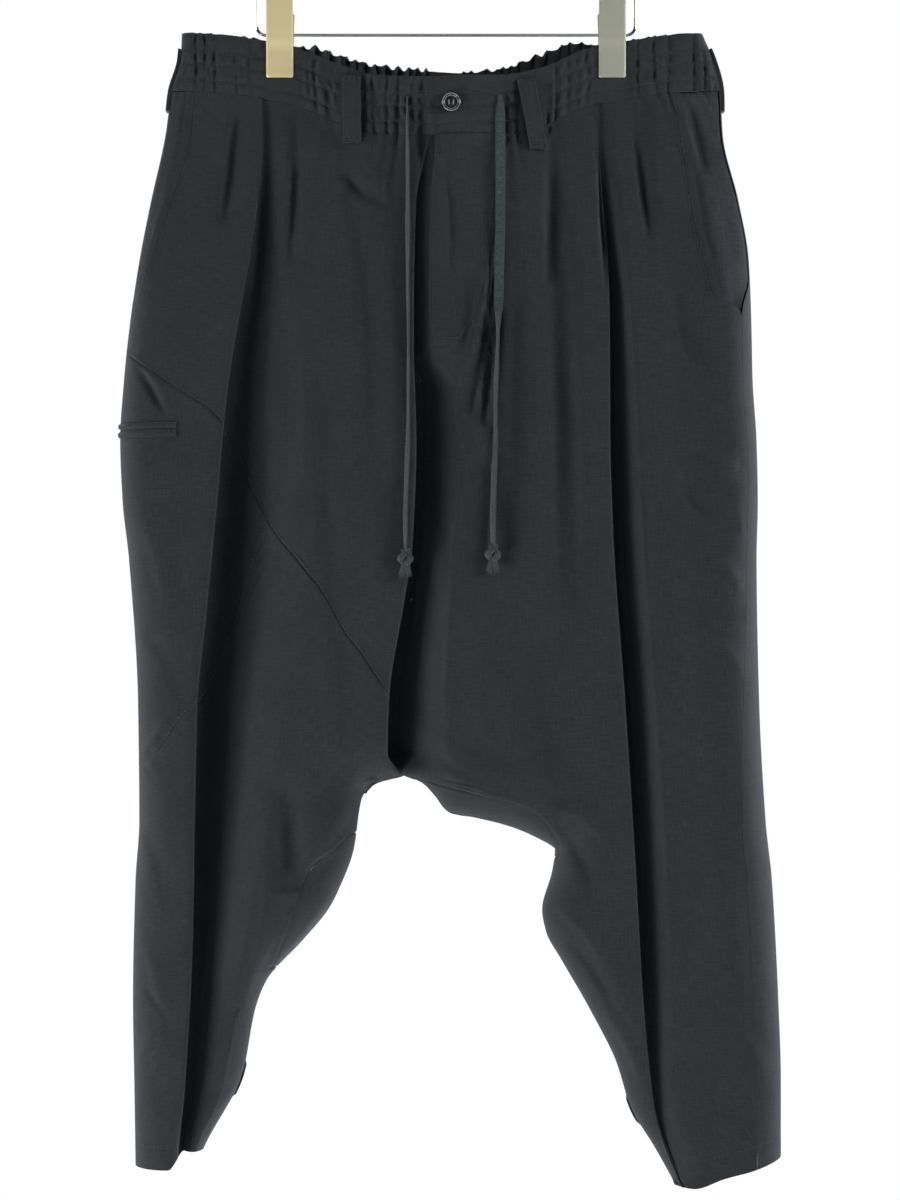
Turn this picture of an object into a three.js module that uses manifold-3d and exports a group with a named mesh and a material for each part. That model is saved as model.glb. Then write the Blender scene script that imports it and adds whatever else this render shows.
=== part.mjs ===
// Drop-crotch harem pants with a gathered elastic waist, held flat by a two-clip wire hanger.
// Millimetres, +Z up, the front faces -Y. The origin is the inner crown of the hanger's hook.
import * as THREE from "three";
import { mergeVertices } from "three/addons/utils/BufferGeometryUtils.js";
import Module from "manifold-3d";

const wasm = await Module();
wasm.setup();

// Driving sizes
const WAIST_Z = -150; // height of the waistband's top edge at the side seams
const CLOTH = 1.4; // wall of one panel
const BAND = 2.4; // wall of the waistband, doubled cloth round elastic
const SEAM = 0.3; // gap between two pieces at a seam
const BAND_DEPTH = 45;
const LEFT_HEM = 881; // level of the photo-left hem
const RIGHT_HEM = 874; // level of the photo-right hem at its outer corner
const CROTCH = 579; // level where the front and back seams meet
const CROTCH_TURN = 20; // drop over which the centre fold turns into the leg's inner edge
const GATHER_PITCH = 7.6;
const GATHER_HEIGHT = 1.5;
const PINCH = 2.7; // half of the cloth's thickness between a clip's jaws

// Reading a short table: rows of numbers under named columns, joined by smooth curves
function table(columns, rows) {
  return { columns, rows };
}

function slopes(xs, ys) {
  const last = xs.length - 1;
  const chord = xs.slice(1).map((x, i) => (ys[i + 1] - ys[i]) / (x - xs[i]));
  return xs.map((_, i) => {
    if (i === 0) return chord[0];
    if (i === last) return chord[last - 1];
    const product = chord[i - 1] * chord[i];
    return product <= 0 ? 0 : (2 * product) / (chord[i - 1] + chord[i]);
  });
}

function curve(source, column) {
  const key = source.columns.indexOf(column);
  const xs = source.rows.map((row) => row[0]);
  const ys = source.rows.map((row) => row[key]);
  const tangents = slopes(xs, ys);
  return (x) => {
    if (x <= xs[0]) return ys[0];
    if (x >= xs[xs.length - 1]) return ys[ys.length - 1];
    const i = xs.findIndex((value) => value > x) - 1;
    const width = xs[i + 1] - xs[i];
    const t = (x - xs[i]) / width;
    return (
      ys[i] * (1 + 2 * t) * (1 - t) ** 2 +
      ys[i + 1] * t * t * (3 - 2 * t) +
      width * t * (1 - t) * (tangents[i] * (1 - t) - tangents[i + 1] * t)
    );
  };
}

const clamp = (x) => Math.min(1, Math.max(0, x));
const mix = (a, b, t) => a + (b - a) * t;
const ease = (x) => clamp(x) ** 2 * (3 - 2 * clamp(x));
const rise = (from, to, x) => ease((x - from) / (to - from));

// Outlines, seen from the front. A level is the drop below the side waist, before any sag.
const OUTLINE = table(["level", "left", "right"], [
  [0, -206, 200],
  [20, -207, 208],
  [45, -214, 214],
  [80, -219, 216],
  [130, -230, 228],
  [176, -239, 236],
  [223, -246, 238],
  [270, -251, 239],
  [317, -254, 242],
  [365, -252, 243],
  [410, -247, 242],
  [520, -240, 244],
  [613, -239, 249],
  [660, -242, 254],
  [753, -244, 259],
  [816, -243, 261],
  [881, -242, 261],
]);

// Inner edge of the photo-left leg, from the crotch down
const LEFT_INSEAM = table(["level", "x"], [
  [579, -33],
  [582, -48],
  [588, -60],
  [597, -66],
  [636, -72],
  [668, -84],
  [683, -92],
  [707, -112],
  [738, -140],
  [761, -149],
  [808, -158],
  [843, -172],
  [881, -189],
]);

// Lower edge of the seat, then the inner edge of the photo-right leg
const RIGHT_INSEAM = table(["level", "x"], [
  [579, -33],
  [583, -20],
  [594, -9],
  [607, 2],
  [612, 27],
  [618, 50],
  [628, 73],
  [636, 85],
  [652, 83],
  [683, 75],
  [700, 78],
  [722, 90],
  [753, 108],
  [799, 132],
  [828, 144],
  [852, 163],
  [874, 178],
]);

// The front's standing lines: where each deep fold has its sharp edge and where its slope ends
const LEFT_FOLD = table(["level", "crest", "foot", "depth"], [
  [0, -146, -132, 0],
  [45, -144, -130, 0.05],
  [130, -148, -120, 0.45],
  [180, -154, -114, 0.55],
  [230, -162, -110, 0.66],
  [285, -170, -106, 0.78],
  [365, -177, -100, 0.9],
  [460, -186, -106, 0.92],
  [520, -192, -120, 0.92],
  [613, -194, -136, 0.9],
  [707, -196, -154, 0.86],
  [815, -202, -172, 0.8],
  [881, -208, -194, 0.7],
]);

const CENTRE_FOLD = table(["level", "crest", "foot", "depth"], [
  [0, -10, 2, 0],
  [45, -13, -3, 0.05],
  [97, -24, -12, 0.4],
  [183, -26, -13, 0.55],
  [230, -26, -10, 0.62],
  [265, -25, 12, 0.75],
  [315, -24, 14, 0.85],
  [400, -27, 7, 0.92],
  [441, -33, 4, 0.95],
  [520, -45, 1, 0.95],
  [560, -46, 3, 0.95],
  [579, -41, 12, 0.95],
]);

const RIGHT_FOLD = table(["level", "crest", "foot", "depth"], [
  [0, 118, 134, 0],
  [45, 118, 134, 0.05],
  [100, 120, 137, 0.3],
  [165, 124, 142, 0.5],
  [225, 125, 145, 0.62],
  [308, 125, 149, 0.7],
  [388, 127, 152, 0.7],
  [518, 136, 162, 0.7],
  [642, 144, 170, 0.68],
  [768, 152, 176, 0.5],
  [824, 160, 182, 0.3],
  [874, 184, 204, 0],
]);

// Section of a deep fold, from its sharp edge round the undercut to the bottom and up the slope
const FOLD_SECTION = table(["along", "offset", "share", "depth"], [
  [0, -6, 0, 0],
  [0.1, -1.5, 0, 0.03],
  [0.2, 1.2, 0, 0.12],
  [0.3, 0.6, 0, 0.28],
  [0.42, -2.4, 0, 0.58],
  [0.52, -2.6, 0.02, 0.86],
  [0.64, 1.5, 0.12, 1],
  [0.76, 0, 0.4, 0.74],
  [0.88, 0, 0.7, 0.3],
  [1, 0, 1, 0],
]);
const FOLD_BOTTOM = 0.64;
const CENTRE_GAP = 0.7; // from the fold's bottom to either panel at the centre seam

// Half of the garment's thickness, front and back, where nothing flattens it
const THICKNESS = table(["level", "front", "back"], [
  [0, 8, 8],
  [45, 10, 10],
  [100, 18, 19],
  [200, 28, 29],
  [320, 36, 38],
  [450, 42, 46],
  [579, 42, 44],
  [700, 36, 38],
  [881, 31, 34],
]);

// The waist ring between and beside the clips: half of its opening, and how far its edges sag
const WAIST = table(["x", "opening", "front", "back"], [
  [-206, 7, 0, 0],
  [-175, 7.5, 2, 1],
  [-148, 4, 5, 4],
  [-137, PINCH, 7, 6],
  [-122, PINCH, 10, 9],
  [-108, 5, 15, 13],
  [-88, 12, 24, 20],
  [-55, 18, 35, 28],
  [-20, 22, 37, 31],
  [10, 22, 36, 33],
  [45, 19, 35, 30],
  [75, 12, 28, 20],
  [108, 4.5, 13, 11],
  [122, PINCH, 9, 8],
  [137, PINCH, 7, 6],
  [150, 4.5, 5, 4],
  [175, 7.5, 2, 1],
  [204, 7, 0, 0],
]);

// Soft folds: a path of three points, width across and height, minus for a trough
const SOFT_COLUMNS = ["x1", "l1", "x2", "l2", "x3", "l3", "width", "height"];
const FRONT_SOFT = [
  [-166, 46, -171, 70, -182, 150, 9, -2.5],
  [-117, 46, -118, 80, -120, 130, 8, -2.5],
  [-83, 50, -62, 190, -58, 400, 17, -5],
  [-95, 235, -93, 370, -72, 560, 15, -4],
  [-126, 575, -122, 615, -118, 665, 24, -12],
  [19, 130, 17, 240, 12, 380, 18, -4],
  [54, 110, 54, 240, 50, 400, 22, -4],
  [84, 80, 89, 300, 90, 500, 26, -8],
  [160, 100, 188, 320, 192, 430, 34, -6],
  [60, 470, 74, 535, 92, 600, 34, -8],
];
const BACK_SOFT = [
  [-158, 46, -172, 300, -190, 700, 38, -12],
  [-96, 60, -100, 240, -92, 470, 32, -8],
  [-20, 60, -26, 300, -32, 540, 34, -16],
  [52, 50, 54, 260, 66, 520, 34, -9],
  [128, 46, 138, 330, 172, 800, 40, -12],
];

const lines = {
  left: curve(OUTLINE, "left"),
  right: curve(OUTLINE, "right"),
  leftInseam: curve(LEFT_INSEAM, "x"),
  rightInseam: curve(RIGHT_INSEAM, "x"),
  opening: curve(WAIST, "opening"),
};
const thickness = { front: curve(THICKNESS, "front"), back: curve(THICKNESS, "back") };
const sag = { front: curve(WAIST, "front"), back: curve(WAIST, "back") };

function deepFold(source) {
  return {
    crest: curve(source, "crest"),
    foot: curve(source, "foot"),
    depth: curve(source, "depth"),
  };
}
const leftFold = deepFold(LEFT_FOLD);
const centreFold = deepFold(CENTRE_FOLD);
const rightFold = deepFold(RIGHT_FOLD);
const section = {
  offset: curve(FOLD_SECTION, "offset"),
  share: curve(FOLD_SECTION, "share"),
  depth: curve(FOLD_SECTION, "depth"),
};

// The arch between the legs, used to round the cloth off towards it
const ARCH_STEP = 8;
const archPoints = [];
for (let level = LEFT_HEM; level > CROTCH; level -= ARCH_STEP) {
  archPoints.push([lines.leftInseam(level), level]);
}
for (let level = CROTCH; level <= RIGHT_HEM; level += ARCH_STEP / 2) {
  archPoints.push([lines.rightInseam(level), level]);
}

function archDistance(x, level) {
  let nearest = Infinity;
  for (let i = 1; i < archPoints.length; i += 1) {
    const [ax, al] = archPoints[i - 1];
    const [bx, bl] = archPoints[i];
    const length = (bx - ax) ** 2 + (bl - al) ** 2;
    const t = clamp(((x - ax) * (bx - ax) + (level - al) * (bl - al)) / length);
    nearest = Math.min(nearest, Math.hypot(x - mix(ax, bx, t), level - mix(al, bl, t)));
  }
  return nearest;
}

// A quarter ellipse: 0 at the edge, 1 past the radius
const rounded = (distance, radius) => Math.sqrt(1 - (1 - clamp(distance / radius)) ** 2);

// Distance from the middle plane to the smooth cloth at a place. The waist is held by the
// clips, and the pinch fades out between two levels below it.
const EDGE_RADIUS = 36;
const EDGE_ROUNDNESS = 1.2;
const ARCH_RADIUS = 42;
const ARCH_REACH = 480;
const PINCH_EDGE = 10;
const PINCH_FADE = [25, 240];
const SAG_FADE = [60, 420];
function bulge(layer, x, level) {
  const edge = Math.max(0, Math.min(x - lines.left(level), lines.right(level) - x));
  const full = thickness[layer](level);
  const radius = Math.min(EDGE_RADIUS, full * EDGE_ROUNDNESS);
  const arch = level > ARCH_REACH ? rounded(archDistance(x, level), ARCH_RADIUS) : 1;
  const hung = full * rounded(edge, radius) * arch;
  const pinched = lines.opening(x) * rounded(edge, PINCH_EDGE);
  return mix(pinched, hung, rise(...PINCH_FADE, level));
}

// A smooth path through three points, and the height of the soft folds over it. Each fold
// rises over its first levels and fades out over its last ones.
const SOFT_START = { before: 20, after: 30 };
const SOFT_END = { before: 60, after: 40 };
function softHeight(rows, x, level) {
  let sum = 0;
  for (const row of rows) {
    const fold = Object.fromEntries(SOFT_COLUMNS.map((name, i) => [name, row[i]]));
    if (level < fold.l1 - SOFT_END.before || level > fold.l3 + SOFT_END.before) continue;
    const upper = level < fold.l2;
    const t = upper ? (level - fold.l1) / (fold.l2 - fold.l1) : (level - fold.l2) / (fold.l3 - fold.l2);
    const centre = upper ? mix(fold.x1, fold.x2, t) : mix(fold.x2, fold.x3, t);
    const across = clamp(Math.abs(x - centre) / fold.width);
    const start = rise(fold.l1 - SOFT_START.before, fold.l1 + SOFT_START.after, level);
    const ends = start * (1 - rise(fold.l3 - SOFT_END.before, fold.l3 + SOFT_END.after, level));
    sum += fold.height * (0.5 + 0.5 * Math.cos(Math.PI * across)) * ends;
  }
  return sum;
}

// Depth of the cloth with its soft folds, never through the middle plane. Soft folds flatten
// where the garment is thin.
const FULL_SOFT = 30;
const LEAST_SHARE = 0.06;
function clothY(layer, x, level, share = 0) {
  const out = bulge(layer, x, level);
  const soft = softHeight(layer === "front" ? FRONT_SOFT : BACK_SOFT, x, level);
  const softened = soft * clamp(out / FULL_SOFT);
  const distance = Math.max(SEAM / 2, out * LEAST_SHARE, out * (1 - share) + softened * (1 - share));
  return layer === "front" ? -distance : distance;
}

// A point of the cloth at a level, where the waist's sag fades out down the garment
function clothPoint(layer, x, level, share = 0, drop = 0) {
  const hang = sag[layer](x) * (1 - rise(...SAG_FADE, level));
  return new THREE.Vector3(x, clothY(layer, x, level, share), WAIST_Z - level - hang - drop);
}

// A point of a deep fold's section
function foldPoint(fold, along, level, drop = 0) {
  const crest = fold.crest(level);
  const width = fold.foot(level) - crest;
  const squeeze = clamp(fold.depth(level) * 2);
  const x = crest + section.offset(along) * squeeze + section.share(along) * width;
  return clothPoint("front", x, level, section.depth(along) * fold.depth(level), drop);
}

// Closed wall through a grid of points. Rows run down, columns run clockwise seen from above.
// The wall starts at a depth under the points, or over them when that is negative; the depth may
// vary from the first column (0) to the last (1). Its borders are square to the seams, so that
// neighbouring pieces meet face to face.
function wall(grid, depth, start = 0) {
  const rows = grid.length;
  const columns = grid[0].length;
  const inward = grid.map((row, i) =>
    row.map((point, j) => {
      const across = grid[i][Math.min(j + 1, columns - 1)].clone().sub(grid[i][Math.max(j - 1, 0)]);
      const down = grid[Math.min(i + 1, rows - 1)][j].clone().sub(grid[Math.max(i - 1, 0)][j]);
      const normal = across.cross(down);
      if (i === 0 || i === rows - 1) normal.z = 0;
      if (j === 0 || j === columns - 1) {
        const sideways = Math.abs(point.y) < SEAM || Math.abs(normal.x) > 2 * Math.abs(normal.y);
        normal.setComponent(sideways ? 1 : 0, 0);
      }
      return normal.normalize();
    }),
  );
  const startAt = (j) => (typeof start === "function" ? start(j / (columns - 1)) : start);
  const sink = (point, i, j, more) => point.clone().addScaledVector(inward[i][j], startAt(j) + more);
  const sunk = (more) => grid.flatMap((row, i) => row.map((point, j) => sink(point, i, j, more)));
  const vertices = [...sunk(0), ...sunk(depth)];
  const index = [];
  const quad = (a, b, c, d) => index.push(a, b, c, a, c, d);
  const outerAt = (i, j) => i * columns + j;
  const innerAt = (i, j) => rows * columns + i * columns + j;
  for (let i = 0; i < rows - 1; i += 1) {
    for (let j = 0; j < columns - 1; j += 1) {
      quad(outerAt(i, j), outerAt(i + 1, j), outerAt(i + 1, j + 1), outerAt(i, j + 1));
      quad(innerAt(i, j), innerAt(i, j + 1), innerAt(i + 1, j + 1), innerAt(i + 1, j));
    }
    quad(outerAt(i, 0), innerAt(i, 0), innerAt(i + 1, 0), outerAt(i + 1, 0));
    const last = columns - 1;
    quad(outerAt(i, last), outerAt(i + 1, last), innerAt(i + 1, last), innerAt(i, last));
  }
  for (let j = 0; j < columns - 1; j += 1) {
    quad(outerAt(0, j), outerAt(0, j + 1), innerAt(0, j + 1), innerAt(0, j));
    quad(outerAt(rows - 1, j), innerAt(rows - 1, j), innerAt(rows - 1, j + 1), outerAt(rows - 1, j + 1));
  }
  const geometry = new THREE.BufferGeometry().setFromPoints(vertices);
  geometry.setIndex(index);
  geometry.computeVertexNormals();
  return geometry;
}

// Seams and edges that the panels are cut to
const POCKET_LEFT = table(["level", "x"], [
  [0, -197],
  [29, -201],
  [79, -205],
  [119, -215],
  [148, -224],
  [178, -234],
  [215, -245],
]);
const POCKET_RIGHT = table(["level", "x"], [
  [0, 174],
  [29, 179],
  [89, 190],
  [148, 199],
  [188, 208],
  [207, 213],
  [216, 221],
  [223, 229],
]);
const SIDE_SEAM = table(["level", "inset"], [
  [0, 1.2],
  [190, 1.2],
  [221, 9],
  [365, 10],
  [440, 11],
  [510, 15],
  [585, 20],
  [642, 23],
  [780, 23],
  [874, 21],
]);
const CURVED_SEAM = table(["x", "level"], [
  [-252, 248],
  [-242, 255],
  [-216, 274],
  [-193, 288],
  [-178, 298],
  [-160, 335],
  [-133, 389],
  [-121, 403],
  [-97, 433],
  [-79, 465],
  [-65, 483],
  [-47, 511],
  [-30, 533],
]);
const LOWER_SEAM = table(["x", "level"], [
  [-240, 573],
  [-218, 555],
  [-204, 534],
  [-192, 522],
  [-178, 496],
  [-160, 446],
  [-146, 396],
  [-140, 383],
]);
const LEFT_GUSSET = table(["level", "x"], [
  [618, -69],
  [634, -87],
  [647, -104],
  [690, -120],
  [722, -133],
  [740, -141],
]);
const RIGHT_GUSSET = table(["level", "x"], [
  [579, -33],
  [583, -10],
  [586, 4],
  [592, 26],
  [596, 48],
  [603, 65],
  [612, 76],
  [622, 83],
  [630, 87],
  [638, 88],
  [646, 84],
]);
const CENTRE_BACK = table(["level", "x"], [
  [0, -10],
  [300, -22],
  [579, -33],
]);
const RIGHT_HEM_DROP = table(["x", "drop"], [
  [170, 20],
  [190, 22],
  [214, 13],
  [237, 7],
  [261, 0],
]);
const FLY_EDGE = table(["level", "left", "right"], [
  [45, -7, 42],
  [97, -12, 40],
  [150, -13, 33],
  [187, -13, 25],
  [215, -11, 14],
  [232, -10, -3],
]);

const seams = {
  pocketLeft: curve(POCKET_LEFT, "x"),
  pocketRight: curve(POCKET_RIGHT, "x"),
  sideInset: curve(SIDE_SEAM, "inset"),
  curved: curve(CURVED_SEAM, "level"),
  lower: curve(LOWER_SEAM, "level"),
  gussetLeft: curve(LEFT_GUSSET, "x"),
  gussetRight: curve(RIGHT_GUSSET, "x"),
  centreBack: curve(CENTRE_BACK, "x"),
  hemDrop: curve(RIGHT_HEM_DROP, "drop"),
  flyLeft: curve(FLY_EDGE, "left"),
  flyRight: curve(FLY_EDGE, "right"),
};
const GUSSET_GAP = { left: 1.5, right: 1.6 };
const GUSSET_LEFT_SPAN = [624, 726];
const GUSSET_RIGHT_SPAN = [582, 641];

const within = (span, level) => level >= span[0] - 1 && level <= span[1] + 1;
const leftInner = (level) =>
  within(GUSSET_LEFT_SPAN, level)
    ? Math.min(seams.gussetLeft(level + GUSSET_GAP.left) - GUSSET_GAP.left, lines.leftInseam(level))
    : lines.leftInseam(level);
const rightInner = (level) =>
  within(GUSSET_RIGHT_SPAN, level)
    ? Math.max(seams.gussetRight(level + GUSSET_GAP.right) + GUSSET_GAP.right, lines.rightInseam(level))
    : lines.rightInseam(level);
const POCKET_END = { left: 215, right: 223 };
const leftOuter = (level) => (level < POCKET_END.left ? seams.pocketLeft(level) : lines.left(level));
const rightOuter = (level) =>
  level < POCKET_END.right
    ? seams.pocketRight(level)
    : lines.right(level) - seams.sideInset(level) - 3 * SEAM;

// The left hem is stepped up behind its fold, and the right hem hangs in a curve
const HEM_STEP = { up: 12, from: -214, to: -203, above: 815 };
const HEM_CURVE_START = 790;
const leftHemDrop = (x, level) =>
  -HEM_STEP.up * rise(HEM_STEP.from, HEM_STEP.to, x) * rise(HEM_STEP.above, LEFT_HEM, level);
const rightHemDrop = (x, level) => seams.hemDrop(x) * rise(HEM_CURVE_START, RIGHT_HEM, level);
const hemDrop = (x, level) => (x < 0 ? leftHemDrop(x, level) : rightHemDrop(x, level));

const spread = (count) => Array.from({ length: count + 1 }, (_, i) => i / count);
const levels = (from, to, count) => spread(count).map((t) => mix(from, to, t));
const easeIn = (t) => 1 - Math.cos((Math.PI / 2) * t);
const easeOut = (t) => Math.sin((Math.PI / 2) * t);
const easeBoth = (t) => 0.5 - 0.5 * Math.cos(Math.PI * t);
const FOLD_TURN = 6; // width of the plain cloth that turns into a deep fold's edge
const INSEAM_TURN = 12; // width of the cloth that rounds off to the inner edge of a leg
const LEAST_WIDTH = 2;
const FOLD_STEPS = [0, 0.12, 0.24, 0.36, 0.5, 0.64, 0.72, 0.8, 0.9, 1];
const foldStart = (fold, level) => fold.crest(level) - FOLD_TURN * clamp(fold.depth(level) * 2);

const flat = (x, level) => clothPoint("front", x, level, 0, hemDrop(x, level));
const folded = (fold, along, level) => {
  const x = fold.crest(level);
  return foldPoint(fold, along, level, hemDrop(x + section.share(along) * (fold.foot(level) - x), level));
};

// One column of the photo-left front, as a function of level
function leftColumns() {
  const strip = spread(5)
    .slice(0, -1)
    .map((t) => (level) => {
      const outer = leftOuter(level);
      return flat(mix(outer, foldStart(leftFold, level), easeIn(t)), level);
    });
  const fold = FOLD_STEPS.map((along) => (level) => folded(leftFold, along, level));
  const front = spread(5)
    .slice(1, -1)
    .map((t) => (level) => {
      const inner = level < CROTCH ? foldStart(centreFold, level) : leftInner(level) - INSEAM_TURN;
      const foot = leftFold.foot(level);
      return flat(mix(foot, Math.max(inner, foot + LEAST_WIDTH), t), level);
    });
  const centre = [0, 0.14, 0.28, 0.42, 0.52, FOLD_BOTTOM].map((along) => (level) => {
    const upper = folded(centreFold, along, Math.min(level, CROTCH));
    if (along === FOLD_BOTTOM) upper.x -= CENTRE_GAP;
    if (level < CROTCH - CROTCH_TURN) return upper;
    const inner = leftInner(Math.max(level, CROTCH));
    const start = Math.max(inner - INSEAM_TURN, leftFold.foot(level) + LEAST_WIDTH);
    const t = easeOut(along / FOLD_BOTTOM);
    const lower = flat(mix(Math.min(start, inner - 1), inner, t), level);
    return level >= CROTCH ? lower : upper.lerp(lower, rise(CROTCH - CROTCH_TURN, CROTCH, level));
  });
  return { strip, fold, front, centre };
}

// One column of the photo-right front
const INSEAM_SHARE = 0.3; // share of the leg's front that rounds off to its inner edge
function rightColumns() {
  const rest = (level) => mix(rightInner(level), foldStart(rightFold, level), INSEAM_SHARE);
  const slope = [0, 0.25, 0.55, 1].map((t) => (level) => {
    const upper = folded(centreFold, mix(FOLD_BOTTOM, 1, t), Math.min(level, CROTCH));
    if (t === 0) upper.x += CENTRE_GAP;
    if (level < CROTCH - CROTCH_TURN) return upper;
    const inner = rightInner(Math.max(level, CROTCH));
    const lower = flat(mix(inner, rest(Math.max(level, CROTCH)), easeIn(t)), level);
    return level >= CROTCH ? lower : upper.lerp(lower, rise(CROTCH - CROTCH_TURN, CROTCH, level));
  });
  const front = spread(7)
    .slice(1, -1)
    .map((t) => (level) => {
      const blend = rise(CROTCH - CROTCH_TURN, CROTCH, level);
      const from = mix(centreFold.foot(level), rest(Math.max(level, CROTCH)), blend);
      return flat(mix(from, foldStart(rightFold, level), t), level);
    });
  const fold = FOLD_STEPS.map((along) => (level) => folded(rightFold, along, level));
  const side = spread(4)
    .slice(1)
    .map((t) => (level) => {
      const foot = rightFold.foot(level);
      return flat(mix(foot, rightOuter(level), easeOut(t)), level);
    });
  return [...slope, ...front, ...fold, ...side];
}

// The level at which a column meets a seam that is given by its x
const MEET_STEPS = 12;
function meet(column, seam, guess) {
  let level = guess;
  for (let i = 0; i < MEET_STEPS; i += 1) level = mix(level, seam(column(level).x), 0.5);
  return level;
}

// Grid of points between two edges, each given as a level for every column
function between(columns, top, bottom, rows) {
  return rows.map((t) => columns.map((column, j) => column(mix(top[j], bottom[j], t))));
}

const left = leftColumns();
const leftAll = [...left.strip, ...left.fold, ...left.front, ...left.centre];
const SEAM_GUESS = { curved: 330, lower: 500 };
const THIGH_FOLD_END = 0.8;
const curvedSeam = leftAll.map((column) => meet(column, seams.curved, SEAM_GUESS.curved));
const THIGH_COLUMNS = left.strip.length + FOLD_STEPS.indexOf(THIGH_FOLD_END) + 1;
const lowerSeam = leftAll
  .slice(0, THIGH_COLUMNS)
  .map((column) => meet(column, seams.lower, SEAM_GUESS.lower));
const half = SEAM / 2;

function frontLeftUpper() {
  const top = leftAll.map(() => PANEL_TOP);
  const bottom = curvedSeam.map((level) => level - half);
  return wall(between(leftAll, top, bottom, spread(9)), CLOTH);
}

function thighPanel() {
  const columns = leftAll.slice(0, THIGH_COLUMNS);
  const top = curvedSeam.slice(0, THIGH_COLUMNS).map((level) => level + half);
  const bottom = lowerSeam.map((level) => level - half);
  return wall(between(columns, top, bottom, spread(5)), CLOTH);
}

function frontLeftLeg() {
  const top = leftAll.map((_, j) => (j < THIGH_COLUMNS ? lowerSeam[j] : curvedSeam[j]) + half);
  const bottom = leftAll.map(() => LEFT_HEM);
  const seamEnd = top[top.length - 1];
  const rows = BACK_LEVELS.filter((level) => level >= CROTCH - CROTCH_TURN)
    .slice(0, -1)
    .map((level) => (level - seamEnd) / (LEFT_HEM - seamEnd));
  return wall(between(leftAll, top, bottom, [0, ...rows, 1]), CLOTH);
}

const PANEL_TOP = BAND_DEPTH + 3 * SEAM;
const RIGHT_LEVELS = [
  PANEL_TOP, 75, 105, 140, 180, 216, 226, 270, 325, 385, 445, 500, 545, CROTCH, 584, 592, 602, 612,
  624, 638, 655, 682, 708, 740, 780, 825, RIGHT_HEM,
];

function frontRight() {
  const columns = rightColumns();
  return wall(RIGHT_LEVELS.map((level) => columns.map((column) => column(level))), CLOTH);
}

const BACK_LEVELS = [
  PANEL_TOP, 90, 150, 190, 221, 300, 380, 460, 525, 560, CROTCH, 584, 592, 602, 612, 624, 638, 655,
  682, 708, 726, 745, 790, 840, 875,
];
const BACK_COLUMNS = 15;
const backPoint = (x, level) => clothPoint("back", x, level, 0, hemDrop(x, level));
const edgePoint = (x, level) => new THREE.Vector3(x, 0, clothPoint("back", x, level, 0, hemDrop(x, level)).z);

function backLevels(hem) {
  return [...BACK_LEVELS.slice(0, -1).map((level) => Math.min(level, hem)), hem];
}

function backLeft() {
  return wall(
    backLevels(LEFT_HEM).map((level) => {
      const inner = level < CROTCH ? seams.centreBack(level) - half : leftInner(level);
      return spread(BACK_COLUMNS).map((t) => backPoint(mix(inner, lines.left(level), easeBoth(t)), level));
    }),
    CLOTH,
  );
}

const WRAP_STEPS = [1, 0.6, 0.25]; // from the front's side seam round to the side
function backRight() {
  return wall(
    backLevels(RIGHT_HEM).map((level) => {
      const outer = lines.right(level);
      const inset = seams.sideInset(level);
      const inner = level < CROTCH ? seams.centreBack(level) + half : rightInner(level);
      const wrap = WRAP_STEPS.map((t) => flat(outer - inset * t * t, level));
      const back = spread(BACK_COLUMNS)
        .slice(1)
        .map((t) => backPoint(mix(outer, inner, easeBoth(t)), level));
      return [...wrap, edgePoint(outer, level), ...back];
    }),
    CLOTH,
  );
}

const LEFT_GUSSET_LEVELS = BACK_LEVELS.filter((level) => within(GUSSET_LEFT_SPAN, level));
const RIGHT_GUSSET_LEVELS = [GUSSET_RIGHT_SPAN[0], 584, 592, 602, 612, 624, 638, GUSSET_RIGHT_SPAN[1]];

const GUSSET_STEPS = [0, 0.45, 0.78, 0.94];

// A gusset folds round the inner edge of a leg, from its seam on the front to its seam on the back
function gusset(rows, seam, inseam, clockwise) {
  return wall(
    rows.map((level) => {
      const front = GUSSET_STEPS.map((t) => flat(mix(seam(level), inseam(level), t), level));
      const back = GUSSET_STEPS.map((t) => backPoint(mix(seam(level), inseam(level), t), level)).reverse();
      const row = [...front, edgePoint(inseam(level), level), ...back];
      return clockwise ? row : row.reverse();
    }),
    CLOTH,
  );
}

// Gathers of the elastic, flattened under clips and loops and over the plain centre front
const CLIP_X = 129.5;
const FRONT_LOOPS = [
  { name: "belt_loop_1", top: [-73, 5], bottom: [-72.5, 57], layer: "front" },
  { name: "belt_loop_2", top: [62, 7], bottom: [72, 63], layer: "front" },
];
const BACK_LOOP = { top: [0, 4], bottom: [0, 56], layer: "back" };
const FLAT_FADE = 7;
const FLAT_SIDES = [4, 12];
const FRONT_FLATS = [[-CLIP_X, 12], [CLIP_X, 12], [-73, 8], [68, 10], [17, 25]]; // middle and half width
const BACK_FLATS = [[-CLIP_X, 12], [CLIP_X, 12], [0, 9]];
const GATHER_DRIFT = [{ size: 0.9, rate: 0.083, start: 0 }, { size: 0.7, rate: 0.031, start: 2 }];
const nearTo = (x, centre, reach) => 1 - rise(reach, reach + FLAT_FADE, Math.abs(x - centre));

function gatherHeight(layer, x, level) {
  const flats = layer === "front" ? FRONT_FLATS : BACK_FLATS;
  const flattened = flats.map(([centre, reach]) => nearTo(x, centre, reach));
  const edge = Math.min(x - lines.left(level), lines.right(level) - x);
  const plain = (1 - Math.max(...flattened)) * rise(...FLAT_SIDES, edge);
  const height = Math.min(GATHER_HEIGHT, Math.max(0, bulge(layer, x, level) - PINCH));
  const wobble = GATHER_DRIFT.reduce((sum, d) => sum + d.size * Math.sin(x * d.rate + d.start), 0);
  return height * plain * Math.cos((2 * Math.PI * x) / GATHER_PITCH + wobble);
}

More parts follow.
